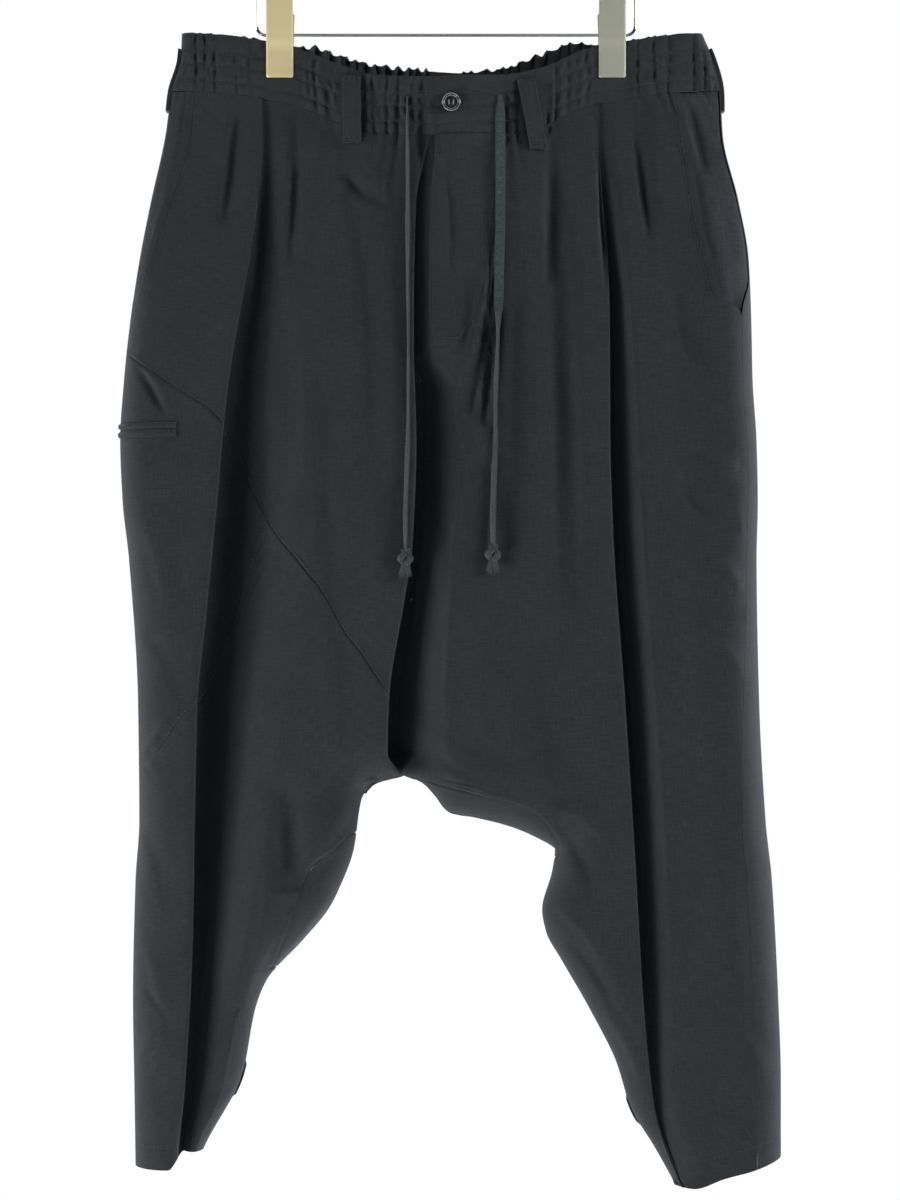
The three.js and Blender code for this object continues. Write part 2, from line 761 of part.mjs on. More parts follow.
// A point of the waistband. The ends follow the outline, which widens down the band.
const SIDE_SHIFT = [120, 200];
const TOP_WAVE = 0.4;
function bandPoint(layer, x, level) {
  const edge = x < 0 ? lines.left : lines.right;
  const shifted = x + (edge(level) - edge(0)) * rise(...SIDE_SHIFT, Math.abs(x));
  const point = clothPoint(layer, shifted, level);
  const height = gatherHeight(layer, shifted, level);
  point.y += layer === "front" ? -height : height;
  point.z += level < 1 ? height * TOP_WAVE : 0;
  return point;
}

// Columns follow the gathers, and are wider where the band is flat
const CALM = { ahead: [2, 3.5], level: 20, height: 0.03, step: 4.5 };
const LEAST_STEP = 0.8;
function bandColumns(layer, from, to) {
  const columns = [from];
  let x = from;
  while (x < to) {
    const heights = CALM.ahead.map((ahead) => Math.abs(gatherHeight(layer, x + ahead, CALM.level)));
    x += Math.max(...heights) < CALM.height ? CALM.step : GATHER_PITCH / 3;
    columns.push(Math.min(x, to));
  }
  const last = columns.length - 1;
  if (columns[last] - columns[last - 1] < LEAST_STEP) columns.splice(last - 1, 1);
  return columns;
}

function band(layer, from, to) {
  const columns = bandColumns(layer, from, to);
  const ordered = layer === "front" ? columns : columns.reverse();
  const rows = [0, BAND_DEPTH / 2, BAND_DEPTH - half];
  return wall(rows.map((level) => ordered.map((x) => bandPoint(layer, x, level))), BAND);
}

// Pocket facings lie one cloth under the front, the side pocket's welt and the fly lie over it
const FACING_GAP = 1.6;
const FACING = { leftEnd: 210, rightEnd: 214, past: 9, least: 12, sinks: [0, 0.5], rises: [0.45, 1] };
function facingLeft() {
  return wall(
    levels(PANEL_TOP, FACING.leftEnd, 6).map((level) => {
      const outer = lines.left(level);
      const inner = Math.max(seams.pocketLeft(level) + FACING.past, outer + FACING.least);
      return spread(5).map((t) => clothPoint("front", mix(outer, inner, easeIn(t)), level));
    }),
    CLOTH,
    (t) => (CLOTH + FACING_GAP) * rise(...FACING.sinks, t),
  );
}

function facingRight() {
  return wall(
    [PANEL_TOP, 90, 150, 190, FACING.rightEnd].map((level) => {
      const outer = lines.right(level) - seams.sideInset(level) - 5 * SEAM;
      const inner = seams.pocketRight(level) - FACING.past;
      return spread(6).map((t) => clothPoint("front", mix(inner, outer, easeOut(t)), level));
    }),
    CLOTH,
    (t) => (CLOTH + FACING_GAP) * (1 - rise(...FACING.rises, t)),
  );
}

const WELT = { top: 305, bottom: 316, inner: -207, wall: 1.2, inset: 0.6 };
function sideWelt() {
  return wall(
    levels(WELT.top, WELT.bottom, 2).map((level) => {
      const outer = lines.left(level) + WELT.inset;
      return spread(6).map((t) => clothPoint("front", mix(outer, WELT.inner, easeIn(t)), level));
    }),
    WELT.wall,
    -WELT.wall - SEAM,
  );
}

// The point of a row of cloth at a given x, past the columns on the centre fold's slope
const SLOPE_END = 3;
function crossing(row, x) {
  const next = row.findIndex((point, k) => k > SLOPE_END && point.x > x);
  const j = Math.min(row.length - 2, Math.max(0, next - 1));
  return row[j].clone().lerp(row[j + 1], (x - row[j].x) / (row[j + 1].x - row[j].x));
}

const FLY_WALL = 0.9;
const FLY_GAP = 0.5;
const FLY_ROWS = 7;
function flyPlacket() {
  const columns = rightColumns();
  const under = RIGHT_LEVELS.slice(0, FLY_ROWS).map((level) => columns.map((column) => column(level)));
  return wall(
    under.map((row, i) => {
      const level = RIGHT_LEVELS[i];
      return spread(5).map((t) => crossing(row, mix(seams.flyLeft(level), seams.flyRight(level), t)));
    }),
    FLY_WALL,
    -FLY_WALL - FLY_GAP,
  );
}

// Belt loops stand a little off the band between their two sewn ends
const LOOP = { width: 14, wall: 1.8, seat: 0.8, rise: 1.2, sideWidth: 13 };
function frontLoop(loop) {
  const rows = spread(6).map((t) => {
    const x = mix(loop.top[0], loop.bottom[0], t);
    const level = mix(loop.top[1], loop.bottom[1], t);
    const off = LOOP.seat + LOOP.rise * Math.sin(Math.PI * t);
    const sign = loop.layer === "front" ? -1 : 1;
    const { z } = clothPoint(loop.layer, x, level);
    return [-0.5, 0.5].map((side) => {
      const place = x + side * LOOP.width;
      return new THREE.Vector3(place, clothPoint(loop.layer, place, level).y + sign * (off + LOOP.wall), z);
    });
  });
  const ordered = loop.layer === "front" ? rows : rows.map((row) => row.reverse());
  return wall(ordered, LOOP.wall);
}

function sideLoop(side) {
  const edge = side < 0 ? lines.left : lines.right;
  const rows = [12, 24, 36, 48, 60].map((level, i) => {
    const off = SEAM + LOOP.wall + LOOP.rise * Math.sin((Math.PI * i) / 4);
    const x = edge(level) + side * off;
    return [-3, LOOP.sideWidth - 3].map((y) => new THREE.Vector3(x, y, WAIST_Z - level));
  });
  return wall(side < 0 ? rows.map((row) => row.reverse()) : rows, LOOP.wall);
}

// Button: a turned disc with a raised rim and four holes
const BUTTON = {
  x: 4, level: 21, radius: 7.4, rim: 1.6, thick: 3.2, recess: 1, hole: 0.9, spacing: 1.7, shank: 0.2,
  round: 0.8, bevel: 0.6, slope: 0.5,
};
const MERGE = 1e-3;
function solid(geometry) {
  const bare = geometry.clone();
  bare.deleteAttribute("normal");
  bare.deleteAttribute("uv");
  const merged = mergeVertices(bare, MERGE);
  const mesh = new wasm.Mesh({
    numProp: 3,
    vertProperties: merged.attributes.position.array,
    triVerts: new Uint32Array(merged.index.array),
  });
  return new wasm.Manifold(mesh);
}

function fromSolid(body) {
  const mesh = body.getMesh();
  const geometry = new THREE.BufferGeometry();
  geometry.setAttribute("position", new THREE.BufferAttribute(new Float32Array(mesh.vertProperties), 3));
  geometry.setIndex([...mesh.triVerts]);
  geometry.computeVertexNormals();
  return geometry;
}

function button() {
  const { radius, rim, thick, recess, hole, spacing, round, bevel, slope } = BUTTON;
  const profile = [
    [0, 0],
    [radius - round, 0],
    [radius, round],
    [radius, thick - round],
    [radius - bevel, thick],
    [radius - rim, thick],
    [radius - rim - slope, thick - recess],
    [0, thick - recess],
  ].map(([r, h]) => new THREE.Vector2(r, h));
  let body = solid(new THREE.LatheGeometry(profile, 24));
  for (const [dx, dz] of [[1, 1], [1, -1], [-1, 1], [-1, -1]]) {
    const drill = new THREE.CylinderGeometry(hole, hole, thick * 3, 10);
    drill.translate(dx * spacing, 0, dz * spacing);
    body = body.subtract(solid(drill));
  }
  return fromSolid(body);
}

// Round bars and flat tapes along a route of hand-placed points
function disc(radius, sides) {
  const points = spread(sides)
    .slice(0, -1)
    .map((t) => new THREE.Vector2(radius * Math.cos(2 * Math.PI * t), radius * Math.sin(2 * Math.PI * t)));
  return new THREE.Shape(points);
}

function along(route, shape, count) {
  const path = new THREE.CatmullRomCurve3(route.map((p) => new THREE.Vector3(...p)), false, "centripetal");
  return new THREE.ExtrudeGeometry(shape, { steps: count, bevelEnabled: false, extrudePath: path });
}

// Drawstring ends: x, y and level down the front, from the eyelet to the knot
const TAPE = { width: 7.5, wall: 1.6, corner: [0.5, 0.4], steps: 22 };
const STRING_LEFT = [
  [-30, -23.9, 53],
  [-30, -24.1, 62],
  [-30, -24.1, 75],
  [-29.5, -23.8, 100],
  [-29.5, -23.7, 140],
  [-29.5, -26, 190],
  [-29, -30.8, 240],
  [-29, -35.2, 290],
  [-30, -38.8, 340],
  [-31, -42.4, 380],
  [-31, -45.4, 404],
];
const STRING_RIGHT = [
  [42, -21.2, 51],
  [42, -21.5, 60],
  [42, -21.9, 75],
  [42, -22.5, 100],
  [42, -22.4, 140],
  [41, -24, 190],
  [40, -28.8, 240],
  [38, -33.8, 290],
  [37, -37.9, 340],
  [36, -41.8, 380],
  [36, -45, 401],
];
const KNOT_RADIUS = 5.6;
const KNOT = { scale: [1.15, 0.8, 0.95], tailTop: 3.2, tailEnd: 1.6, lean: 0.6, start: 0.8, sink: 2 };
const TAILS = { left: 8, right: 7 };
const routeOf = (rows) => rows.map(([x, y, drop]) => [x, y, WAIST_Z - drop]);

function tapeShape() {
  const w = TAPE.width / 2;
  const t = TAPE.wall / 2;
  const [cut, drop] = TAPE.corner;
  const corner = [[w - cut, -t], [w, -t + drop], [w, t - drop], [w - cut, t]];
  const other = corner.map(([x, y]) => [-x, -y]);
  return new THREE.Shape([...corner, ...other].map(([x, y]) => new THREE.Vector2(x, y)));
}

function knot(tail) {
  const ball = new THREE.SphereGeometry(KNOT_RADIUS, 12, 8);
  ball.scale(...KNOT.scale);
  const frayed = new THREE.CylinderGeometry(KNOT.tailEnd, KNOT.tailTop, tail, 8);
  frayed.rotateX(Math.PI / 2);
  frayed.translate(KNOT.lean, 0, -KNOT_RADIUS * KNOT.start - tail / 2 + KNOT.sink);
  return fromSolid(solid(ball).add(solid(frayed)));
}

// Wire hanger: a frame with one flat side, a sleeve that joins its ends, and the hook
const WIRE = 1.2; // radius
const HOOK_WIRE = 1.9;
const HANGER = {
  bar: WAIST_Z - 1,
  top: WAIST_Z + 66,
  halfWidth: 147.5,
  corner: 7,
  sleeveRadius: 4,
  sleeveLength: 22,
  hookRadius: 20,
  hookArc: [-0.3 * Math.PI, 1.05 * Math.PI],
  hookSteps: 12,
  shoulder: 12,
  crook: { x: 40, drop: 3 },
  stem: [8, 14, 5],
  lean: 2,
};

function bend(path, centre, radius, from, to) {
  const arc = new THREE.EllipseCurve(0, 0, radius, radius, from, to, to < from);
  const points = arc.getPoints(5).map((p) => new THREE.Vector3(centre[0] + p.x, 0, centre[1] + p.y));
  path.push(...points);
}

// A route of straight runs, one step for each of its points
class Polyline extends THREE.Curve {
  constructor(points) {
    super();
    this.points = points;
  }
  getPoint(t) {
    const wanted = t * (this.points.length - 1);
    const i = Math.min(Math.floor(wanted), this.points.length - 2);
    return this.points[i].clone().lerp(this.points[i + 1], wanted - i);
  }
  getPointAt(t) {
    return this.getPoint(t);
  }
  getTangentAt(t) {
    const step = 0.5 / (this.points.length - 1);
    return this.getPoint(Math.min(1, t + step)).sub(this.getPoint(Math.max(0, t - step))).normalize();
  }
}

function wireAlong(points, radius, sides) {
  const path = new Polyline(points);
  return new THREE.ExtrudeGeometry(disc(radius, sides), {
    steps: points.length - 1,
    bevelEnabled: false,
    extrudePath: path,
  });
}

function hangerFrame() {
  const { bar, top, halfWidth: w, corner: r, crook } = HANGER;
  const end = HANGER.sleeveRadius + 2 * SEAM;
  const high = top - HANGER.shoulder - r;
  const points = [new THREE.Vector3(-end, 0, top), new THREE.Vector3(-crook.x, 0, top - crook.drop)];
  bend(points, [-w + r, high], r, Math.PI / 2, Math.PI);
  bend(points, [-w + r, bar + r], r, Math.PI, 1.5 * Math.PI);
  bend(points, [w - r, bar + r], r, 1.5 * Math.PI, 2 * Math.PI);
  bend(points, [w - r, high], r, 0, Math.PI / 2);
  points.push(new THREE.Vector3(crook.x, 0, top - crook.drop), new THREE.Vector3(end, 0, top));
  return wireAlong(points, WIRE, 8);
}

function hook() {
  const { top, hookRadius: r, lean, stem } = HANGER;
  const foot = top + HANGER.sleeveLength / 2 + SEAM;
  const crown = -2 * r;
  const points = [[0, foot], [0, foot + stem[0]], [0, crown - stem[1]], [lean, crown - stem[2]]].map(
    ([x, z]) => new THREE.Vector3(x, 0, z),
  );
  const reach = r + HOOK_WIRE;
  const arc = spread(HANGER.hookSteps).map((t) => {
    const angle = mix(...HANGER.hookArc, t);
    return new THREE.Vector3(reach * Math.cos(angle), 0, -r + reach * Math.sin(angle));
  });
  return wireAlong([...points, ...arc], HOOK_WIRE, 10);
}

function sleeve() {
  const { sleeveRadius: r, sleeveLength: length } = HANGER;
  const geometry = new THREE.CylinderGeometry(r, r, length, 20);
  geometry.rotateX(Math.PI / 2);
  return geometry;
}

// Clip plates: a bent strip of steel, drawn from the side and as wide as the strip
const CLIP = {
  width: 21, wall: 1.2, jaw: -33.5, pad: -14, top: 41, rearTop: 20, frontOut: [5.4, 7.4], rearOut: [6.5, 17],
};
function clipPlate(front) {
  const upper = front ? CLIP.top : CLIP.rearTop;
  const face = PINCH + SEAM;
  const out = [face, face, ...(front ? CLIP.frontOut : CLIP.rearOut)];
  const heights = [CLIP.jaw, CLIP.pad, 0, upper];
  const sign = front ? -1 : 1;
  const inner = heights.map((z, i) => new THREE.Vector2(sign * out[i], z));
  const outer = heights.map((z, i) => new THREE.Vector2(sign * (out[i] + CLIP.wall), z)).reverse();
  const shape = new THREE.Shape([...inner, ...outer]);
  const geometry = new THREE.ExtrudeGeometry(shape, { depth: CLIP.width, bevelEnabled: false });
  geometry.translate(0, 0, -CLIP.width / 2);
  geometry.applyMatrix4(new THREE.Matrix4().makeBasis(
    new THREE.Vector3(0, 1, 0), new THREE.Vector3(0, 0, 1), new THREE.Vector3(1, 0, 0),
  ));
  return geometry;
}

const SPRING = { turns: 4, length: 14, low: 4, high: 4.7, groove: 0.3 };
function clipSpring() {
  const { turns, length, low, high, groove } = SPRING;
  const points = [[WIRE + SEAM, -length / 2]];
  for (let i = 0; i < turns; i += 1) {
    const z = -length / 2 + (length * i) / turns;
    const next = z + length / turns;
    points.push([low, z + groove], [high, (z + next) / 2], [low, next - groove]);
  }
  points.push([WIRE + SEAM, length / 2], [WIRE + SEAM, -length / 2]);
  const geometry = new THREE.LatheGeometry(points.map(([r, h]) => new THREE.Vector2(r, h)), 10);
  geometry.rotateZ(Math.PI / 2);
  return geometry;
}

// Finishes
const finish = (color, roughness, metalness = 0) =>
  new THREE.MeshStandardMaterial({ color, roughness, metalness });
const cloth = finish(0x2a2d30, 0.92);
const tape = finish(0x3c4a4e, 0.9);
const steel = finish(0xb9b6aa, 0.35, 1);
const chrome = finish(0xc9ccd0, 0.15, 1);
const horn = finish(0x1b1c1e, 0.3);

const group = new THREE.Group();
function add(name, geometry, material, position = [0, 0, 0]) {
  const mesh = new THREE.Mesh(geometry, material);
  mesh.name = name;
  mesh.position.set(...position);
  group.add(mesh);
  return mesh;
}

add("waistband_front_left", band("front", lines.left(0), -9 - 2 * SEAM), cloth);
add("waistband_front_right", band("front", -9, lines.right(0)), cloth);
add("waistband_back", band("back", lines.left(0), lines.right(0)), cloth);
add("front_left_upper", frontLeftUpper(), cloth);
add("thigh_panel_left", thighPanel(), cloth);
add("front_left_leg", frontLeftLeg(), cloth);
add("front_right", frontRight(), cloth);
add("back_left", backLeft(), cloth);
add("back_right", backRight(), cloth);
add("gusset_left", gusset(LEFT_GUSSET_LEVELS, seams.gussetLeft, lines.leftInseam, true), cloth);
add("gusset_right", gusset(RIGHT_GUSSET_LEVELS, seams.gussetRight, lines.rightInseam, false), cloth);
add("pocket_facing_left", facingLeft(), cloth);
add("pocket_facing_right", facingRight(), cloth);
add("side_pocket_welt", sideWelt(), cloth);
add("fly_placket", flyPlacket(), cloth);
FRONT_LOOPS.forEach((loop) => add(loop.name, frontLoop(loop), cloth));
add("belt_loop_3", sideLoop(-1), cloth);
add("belt_loop_4", sideLoop(1), cloth);
add("belt_loop_5", frontLoop(BACK_LOOP), cloth);

const buttonSeat = clothPoint("front", BUTTON.x, BUTTON.level);
buttonSeat.y -= BUTTON.shank;
add("waist_button", button(), horn, [buttonSeat.x, buttonSeat.y - SEAM, buttonSeat.z]).rotation.x = Math.PI;

add("drawstring_left", along(routeOf(STRING_LEFT), tapeShape(), TAPE.steps), tape);
add("drawstring_right", along(routeOf(STRING_RIGHT), tapeShape(), TAPE.steps), tape);
const knotSeat = (rows) => {
  const [x, y, drop] = rows[rows.length - 1];
  return [x, y, WAIST_Z - drop - KNOT_RADIUS - SEAM];
};
add("knot_left", knot(TAILS.left), tape, knotSeat(STRING_LEFT));
add("knot_right", knot(TAILS.right), tape, knotSeat(STRING_RIGHT));

add("hanger_frame", hangerFrame(), chrome);
add("hanger_hook", hook(), chrome);
add("hanger_sleeve", sleeve(), chrome, [0, 0, HANGER.top]);
for (const [side, x] of [["left", -CLIP_X], ["right", CLIP_X]]) {
  add(`clip_${side}_front`, clipPlate(true), steel, [x, 0, HANGER.bar]);
  add(`clip_${side}_rear`, clipPlate(false), steel, [x, 0, HANGER.bar]);
  add(`clip_${side}_spring`, clipSpring(), chrome, [x, 0, HANGER.bar]);
}

export default group;
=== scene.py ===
"""Drop-crotch harem pants with a gathered elastic waist, held flat by a two-clip wire hanger.

The pattern is written in millimetres. A level is the drop below the side waist. Shapes turn to
metres where a mesh is made. The front faces -Y, +Z is up, and the origin is the inner crown of
the hanger's hook.
"""
from __future__ import annotations

import logging
import math
from dataclasses import dataclass, field
from enum import Enum
from typing import Callable, Sequence

import bmesh
import bpy
import numpy as np
from mathutils import Matrix, Vector


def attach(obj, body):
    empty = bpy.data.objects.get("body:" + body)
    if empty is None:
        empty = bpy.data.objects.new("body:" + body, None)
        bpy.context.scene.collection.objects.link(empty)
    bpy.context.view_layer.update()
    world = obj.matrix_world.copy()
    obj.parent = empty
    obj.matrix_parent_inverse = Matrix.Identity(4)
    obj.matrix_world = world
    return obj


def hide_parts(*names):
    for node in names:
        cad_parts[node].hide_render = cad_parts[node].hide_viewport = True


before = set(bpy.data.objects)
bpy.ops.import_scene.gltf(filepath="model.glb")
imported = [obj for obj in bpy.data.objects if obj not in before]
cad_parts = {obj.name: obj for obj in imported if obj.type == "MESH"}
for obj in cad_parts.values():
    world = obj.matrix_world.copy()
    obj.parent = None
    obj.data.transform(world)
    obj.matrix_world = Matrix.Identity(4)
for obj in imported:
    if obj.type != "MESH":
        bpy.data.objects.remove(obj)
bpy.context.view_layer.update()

LOG = logging.getLogger("harem_pants")
Array = np.ndarray
MM = 0.001
BODY = "root"

WAIST_Z = -150.0
CLOTH = 1.4
BAND = 2.4
SEAM = 0.3
BAND_DEPTH = 45.0
LEFT_HEM = 881.0
RIGHT_HEM = 874.0
CROTCH = 579.0
PINCH = 2.7
PANEL_TOP = BAND_DEPTH + 0.2


class Layer(Enum):
    """Side of the garment that a point lies on, with the sign of its depth."""

    FRONT = -1.0
    BACK = 1.0


def clamp(x: Array | float) -> Array:
    """Limits values to 0..1."""
    return np.clip(x, 0.0, 1.0)


def mix(a: Array | float, b: Array | float, t: Array | float) -> Array:
    """Goes from a to b as t goes from 0 to 1."""
    return a + (b - a) * t


def rise(start: float, end: float, x: Array | float) -> Array:
    """Smooth step from 0 at start to 1 at end."""
    t = clamp((np.asarray(x, float) - start) / (end - start))
    return t * t * (3 - 2 * t)


def hill(x: Array | float, centre: float, width: Array | float) -> Array:
    """Bell curve: 1 at the centre, and falling over the width."""
    return np.exp(-(((x - centre) / width) ** 2))


def boxed(x: Array, level: Array, xs: Sequence[float], levels: Sequence[float], margin: float) -> Array:
    """Finds the places in the box round some points.

    Args:
        x: Places across.
        level: Levels of the same places.
        xs: Places across of the points.
        levels: Levels of the points.
        margin: How far the box goes past them.

    Returns:
        True for each place in the box.
    """
    tall = (level > min(levels) - margin) & (level < max(levels) + margin)
    return tall & (x > min(xs) - margin) & (x < max(xs) + margin)


@dataclass(frozen=True)
class Table:
    """Short table of sizes with named columns."""

    columns: tuple[str, ...]
    rows: tuple[tuple[float, ...], ...]

    def line(self, column: str) -> "Line":
        """Smooth line of one column over the first one."""
        key = self.columns.index(column)
        return Line(np.array([r[0] for r in self.rows], float), np.array([r[key] for r in self.rows], float))


class Line:
    """Smooth line through points, with no overshoot between them."""

    def __init__(self, xs: Array, ys: Array) -> None:
        """Works out a slope at each point.

        Args:
            xs: Rising places.
            ys: Value at each place.
        """
        self.xs, self.ys = xs, ys
        chord = np.diff(ys) / np.diff(xs)
        product = chord[:-1] * chord[1:]
        total = chord[:-1] + chord[1:]
        inner = np.where(product > 0, 2 * product / np.where(product > 0, total, 1.0), 0.0)
        self.slopes = np.concatenate([chord[:1], inner, chord[-1:]])

    def __call__(self, x: Array | float) -> Array:
        """Value at x, held level past the ends."""
        x = np.clip(np.asarray(x, float), self.xs[0], self.xs[-1])
        i = np.clip(np.searchsorted(self.xs, x, side="right") - 1, 0, len(self.xs) - 2)
        width = self.xs[i + 1] - self.xs[i]
        t = (x - self.xs[i]) / width
        ends = self.ys[i] * (1 + 2 * t) * (1 - t) ** 2 + self.ys[i + 1] * t * t * (3 - 2 * t)
        return ends + width * t * (1 - t) * (self.slopes[i] * (1 - t) - self.slopes[i + 1] * t)


OUTLINE = Table(("level", "left", "right"), (
    (0, -206, 200), (20, -207, 208), (45, -214, 214), (80, -219, 216), (130, -230, 228), (176, -239, 236),
    (223, -246, 238), (270, -251, 239), (317, -254, 242), (365, -252, 243), (410, -247, 242),
    (520, -240, 244), (613, -239, 249), (660, -242, 254), (753, -244, 259), (816, -243, 261),
    (881, -242, 261),
))
LEFT_INSEAM = Table(("level", "x"), (
    (579, -33), (582, -48), (588, -60), (597, -66), (636, -72), (668, -84), (683, -92), (707, -112),
    (738, -140), (761, -149), (808, -158), (843, -172), (881, -189),
))
RIGHT_INSEAM = Table(("level", "x"), (
    (579, -33), (583, -20), (594, -9), (607, 2), (612, 27), (618, 50), (628, 73), (636, 85), (652, 83),
    (683, 75), (700, 78), (722, 90), (753, 108), (799, 132), (828, 144), (852, 163), (874, 178),
))
LEFT_FOLD = Table(("level", "crest", "foot", "depth"), (
    (0, -146, -132, 0), (40, -144, -130, 0.3), (60, -144, -128, 0.72), (130, -148, -120, 0.72),
    (180, -154, -114, 0.72), (230, -162, -110, 0.76), (285, -170, -106, 0.8), (365, -177, -100, 0.9),
    (460, -186, -106, 0.92), (520, -192, -120, 0.92), (613, -194, -136, 0.9), (707, -196, -154, 0.86),
    (815, -202, -172, 0.8), (881, -208, -194, 0.7),
))
CENTRE_FOLD = Table(("level", "crest", "foot", "depth"), (
    (0, -10, 2, 0), (45, -13, -3, 0.05), (97, -24, -12, 0.4), (183, -26, -13, 0.55), (230, -26, -10, 0.62),
    (265, -25, 12, 0.75), (315, -24, 14, 0.85), (400, -27, 7, 0.92), (441, -33, 4, 0.95),
    (520, -45, 1, 0.95), (560, -46, 3, 0.95), (579, -41, 12, 0.95),
))
RIGHT_FOLD = Table(("level", "crest", "foot", "depth"), (
    (0, 118, 132, 0), (40, 118, 132, 0.3), (60, 118, 132, 0.7), (100, 120, 135, 0.7), (165, 124, 140, 0.7),
    (225, 125, 144, 0.72), (308, 125, 149, 0.74), (388, 127, 152, 0.74), (518, 136, 162, 0.72),
    (642, 144, 170, 0.68), (768, 152, 176, 0.5), (824, 160, 182, 0.3), (874, 184, 204, 0),
))
FOLD_SECTION = Table(("along", "offset", "share", "depth"), (
    (0, -6, 0, 0), (0.1, -1.5, 0, 0.03), (0.2, 1.2, 0, 0.12), (0.3, 0.6, 0, 0.28), (0.42, -2.4, 0, 0.58),
    (0.52, -2.6, 0.02, 0.86), (0.64, 1.5, 0.12, 1), (0.76, 0, 0.4, 0.74), (0.88, 0, 0.7, 0.3), (1, 0, 1, 0),
))
THICKNESS = Table(("level", "front", "back"), (
    (0, 8, 8), (45, 10, 10), (100, 18, 19), (200, 28, 29), (320, 36, 38), (450, 42, 46), (579, 42, 44),
    (700, 36, 38), (881, 31, 34),
))
WAIST = Table(("x", "opening", "front", "back"), (
    (-206, 7, 0, 0), (-175, 7.5, 2, 1), (-148, 4, 5, 4), (-137, PINCH, 7, 6), (-122, PINCH, 10, 9),
    (-108, 5, 15, 13), (-88, 12, 24, 20), (-55, 18, 35, 28), (-20, 22, 37, 31), (10, 22, 36, 33),
    (45, 19, 35, 30), (75, 12, 28, 20), (108, 4.5, 13, 11), (122, PINCH, 9, 8), (137, PINCH, 7, 6),
    (150, 4.5, 5, 4), (175, 7.5, 2, 1), (204, 7, 0, 0),
))
POCKET_LEFT = Table(("level", "x"), (
    (0, -197), (29, -201), (79, -205), (119, -215), (148, -224), (178, -234), (215, -245),
))
POCKET_RIGHT = Table(("level", "x"), (
    (0, 174), (29, 179), (89, 190), (148, 199), (188, 208), (207, 213), (216, 221), (223, 229),
))
SIDE_SEAM = Table(("level", "inset"), (
    (0, 1.2), (190, 1.2), (221, 9), (365, 10), (440, 11), (510, 15), (585, 20), (642, 23), (780, 23),
    (874, 21),
))
CURVED_SEAM = Table(("x", "level"), (
    (-252, 248), (-242, 255), (-216, 274), (-193, 288), (-178, 298), (-160, 335), (-133, 389), (-121, 403),
    (-97, 433), (-79, 465), (-65, 483), (-47, 511), (-30, 533),
))
LOWER_SEAM = Table(("x", "level"), (
    (-240, 573), (-218, 555), (-204, 534), (-192, 522), (-178, 496), (-160, 446), (-146, 396), (-140, 383),
))
LEFT_GUSSET = Table(("level", "x"), (
    (618, -69), (634, -87), (647, -104), (690, -120), (722, -133), (740, -141),
))
RIGHT_GUSSET = Table(("level", "x"), (
    (579, -33), (583, -10), (586, 4), (592, 26), (596, 48), (603, 65), (612, 76), (622, 83), (630, 87),
    (638, 88), (646, 84),
))
CENTRE_BACK = Table(("level", "x"), (
    (0, -10), (300, -22), (579, -33),
))
RIGHT_HEM_DROP = Table(("x", "drop"), (
    (170, 20), (190, 22), (214, 13), (237, 7), (261, 0),
))
FLY_EDGE = Table(("level", "left", "right"), (
    (45, -7, 42), (97, -12, 40), (150, -13, 33), (187, -13, 25), (215, -11, 14), (232, -10, -3),
))


@dataclass(frozen=True)
class DeepFold:
    """Standing fold of the front: its sharp edge, where its slope ends, and its depth."""

    table: Table
    lip: float = 6.0

    def crest(self, level: Array) -> Array:
        """Place of the sharp edge."""
        return self.table.line("crest")(level)

    def foot(self, level: Array) -> Array:
        """Place where the slope ends."""
        return self.table.line("foot")(level)

    def depth(self, level: Array) -> Array:
        """Share of the garment's half thickness that the fold sinks."""
        return self.table.line("depth")(level)

    def start(self, level: Array) -> Array:
        """Where plain cloth meets the fold's sharp edge."""
        return self.crest(level) - self.lip * clamp(self.depth(level) * 2)

    def places(self, along: float, level: Array) -> "Places":
        """Places on the fold's section.

        Args:
            along: 0 at the sharp edge, 1 where the slope ends.
            level: Levels.

        Returns:
            The places.
        """
        crest, depth = self.crest(level), self.depth(level)
        slope = DRAPE.fold_share(along) * (self.foot(level) - crest)
        x = crest + DRAPE.fold_offset(along) * clamp(depth * 2) + slope
        return Places(x, np.asarray(level, float), DRAPE.fold_depth(along) * depth)


@dataclass(frozen=True)
class Crease:
    """One crease or soft fold along a bent path.

    The path runs through three points of x and level. Height is minus for a trough. The left
    side falls over `left` millimetres and the right side over `right`.
    """

    x1: float
    l1: float
    x2: float
    l2: float
    x3: float
    l3: float
    left: float
    right: float
    height: float

    def over(self, x: Array, level: Array) -> Array:
        """Height that the crease adds at each place, outwards.

        Args:
            x, level: Places across, and their levels.

        Returns:
            Millimetres.
        """
        xs, levels = (self.x1, self.x2, self.x3), (self.l1, self.l2, self.l3)
        out = np.zeros_like(x)
        near = boxed(x, level, xs, levels, 2.6 * max(self.left, self.right))
        if near.any():
            path = Path.through(self.x1, self.l1, self.x2, self.l2, self.x3, self.l3)
            side, share, distance = path.locate(x[near], level[near])
            width = np.where(side < 0, self.left, self.right)
            taper = np.sqrt(clamp(np.sin(math.pi * clamp(share))))
            out[near] = self.height * hill(distance, 0, width) * taper
        return out


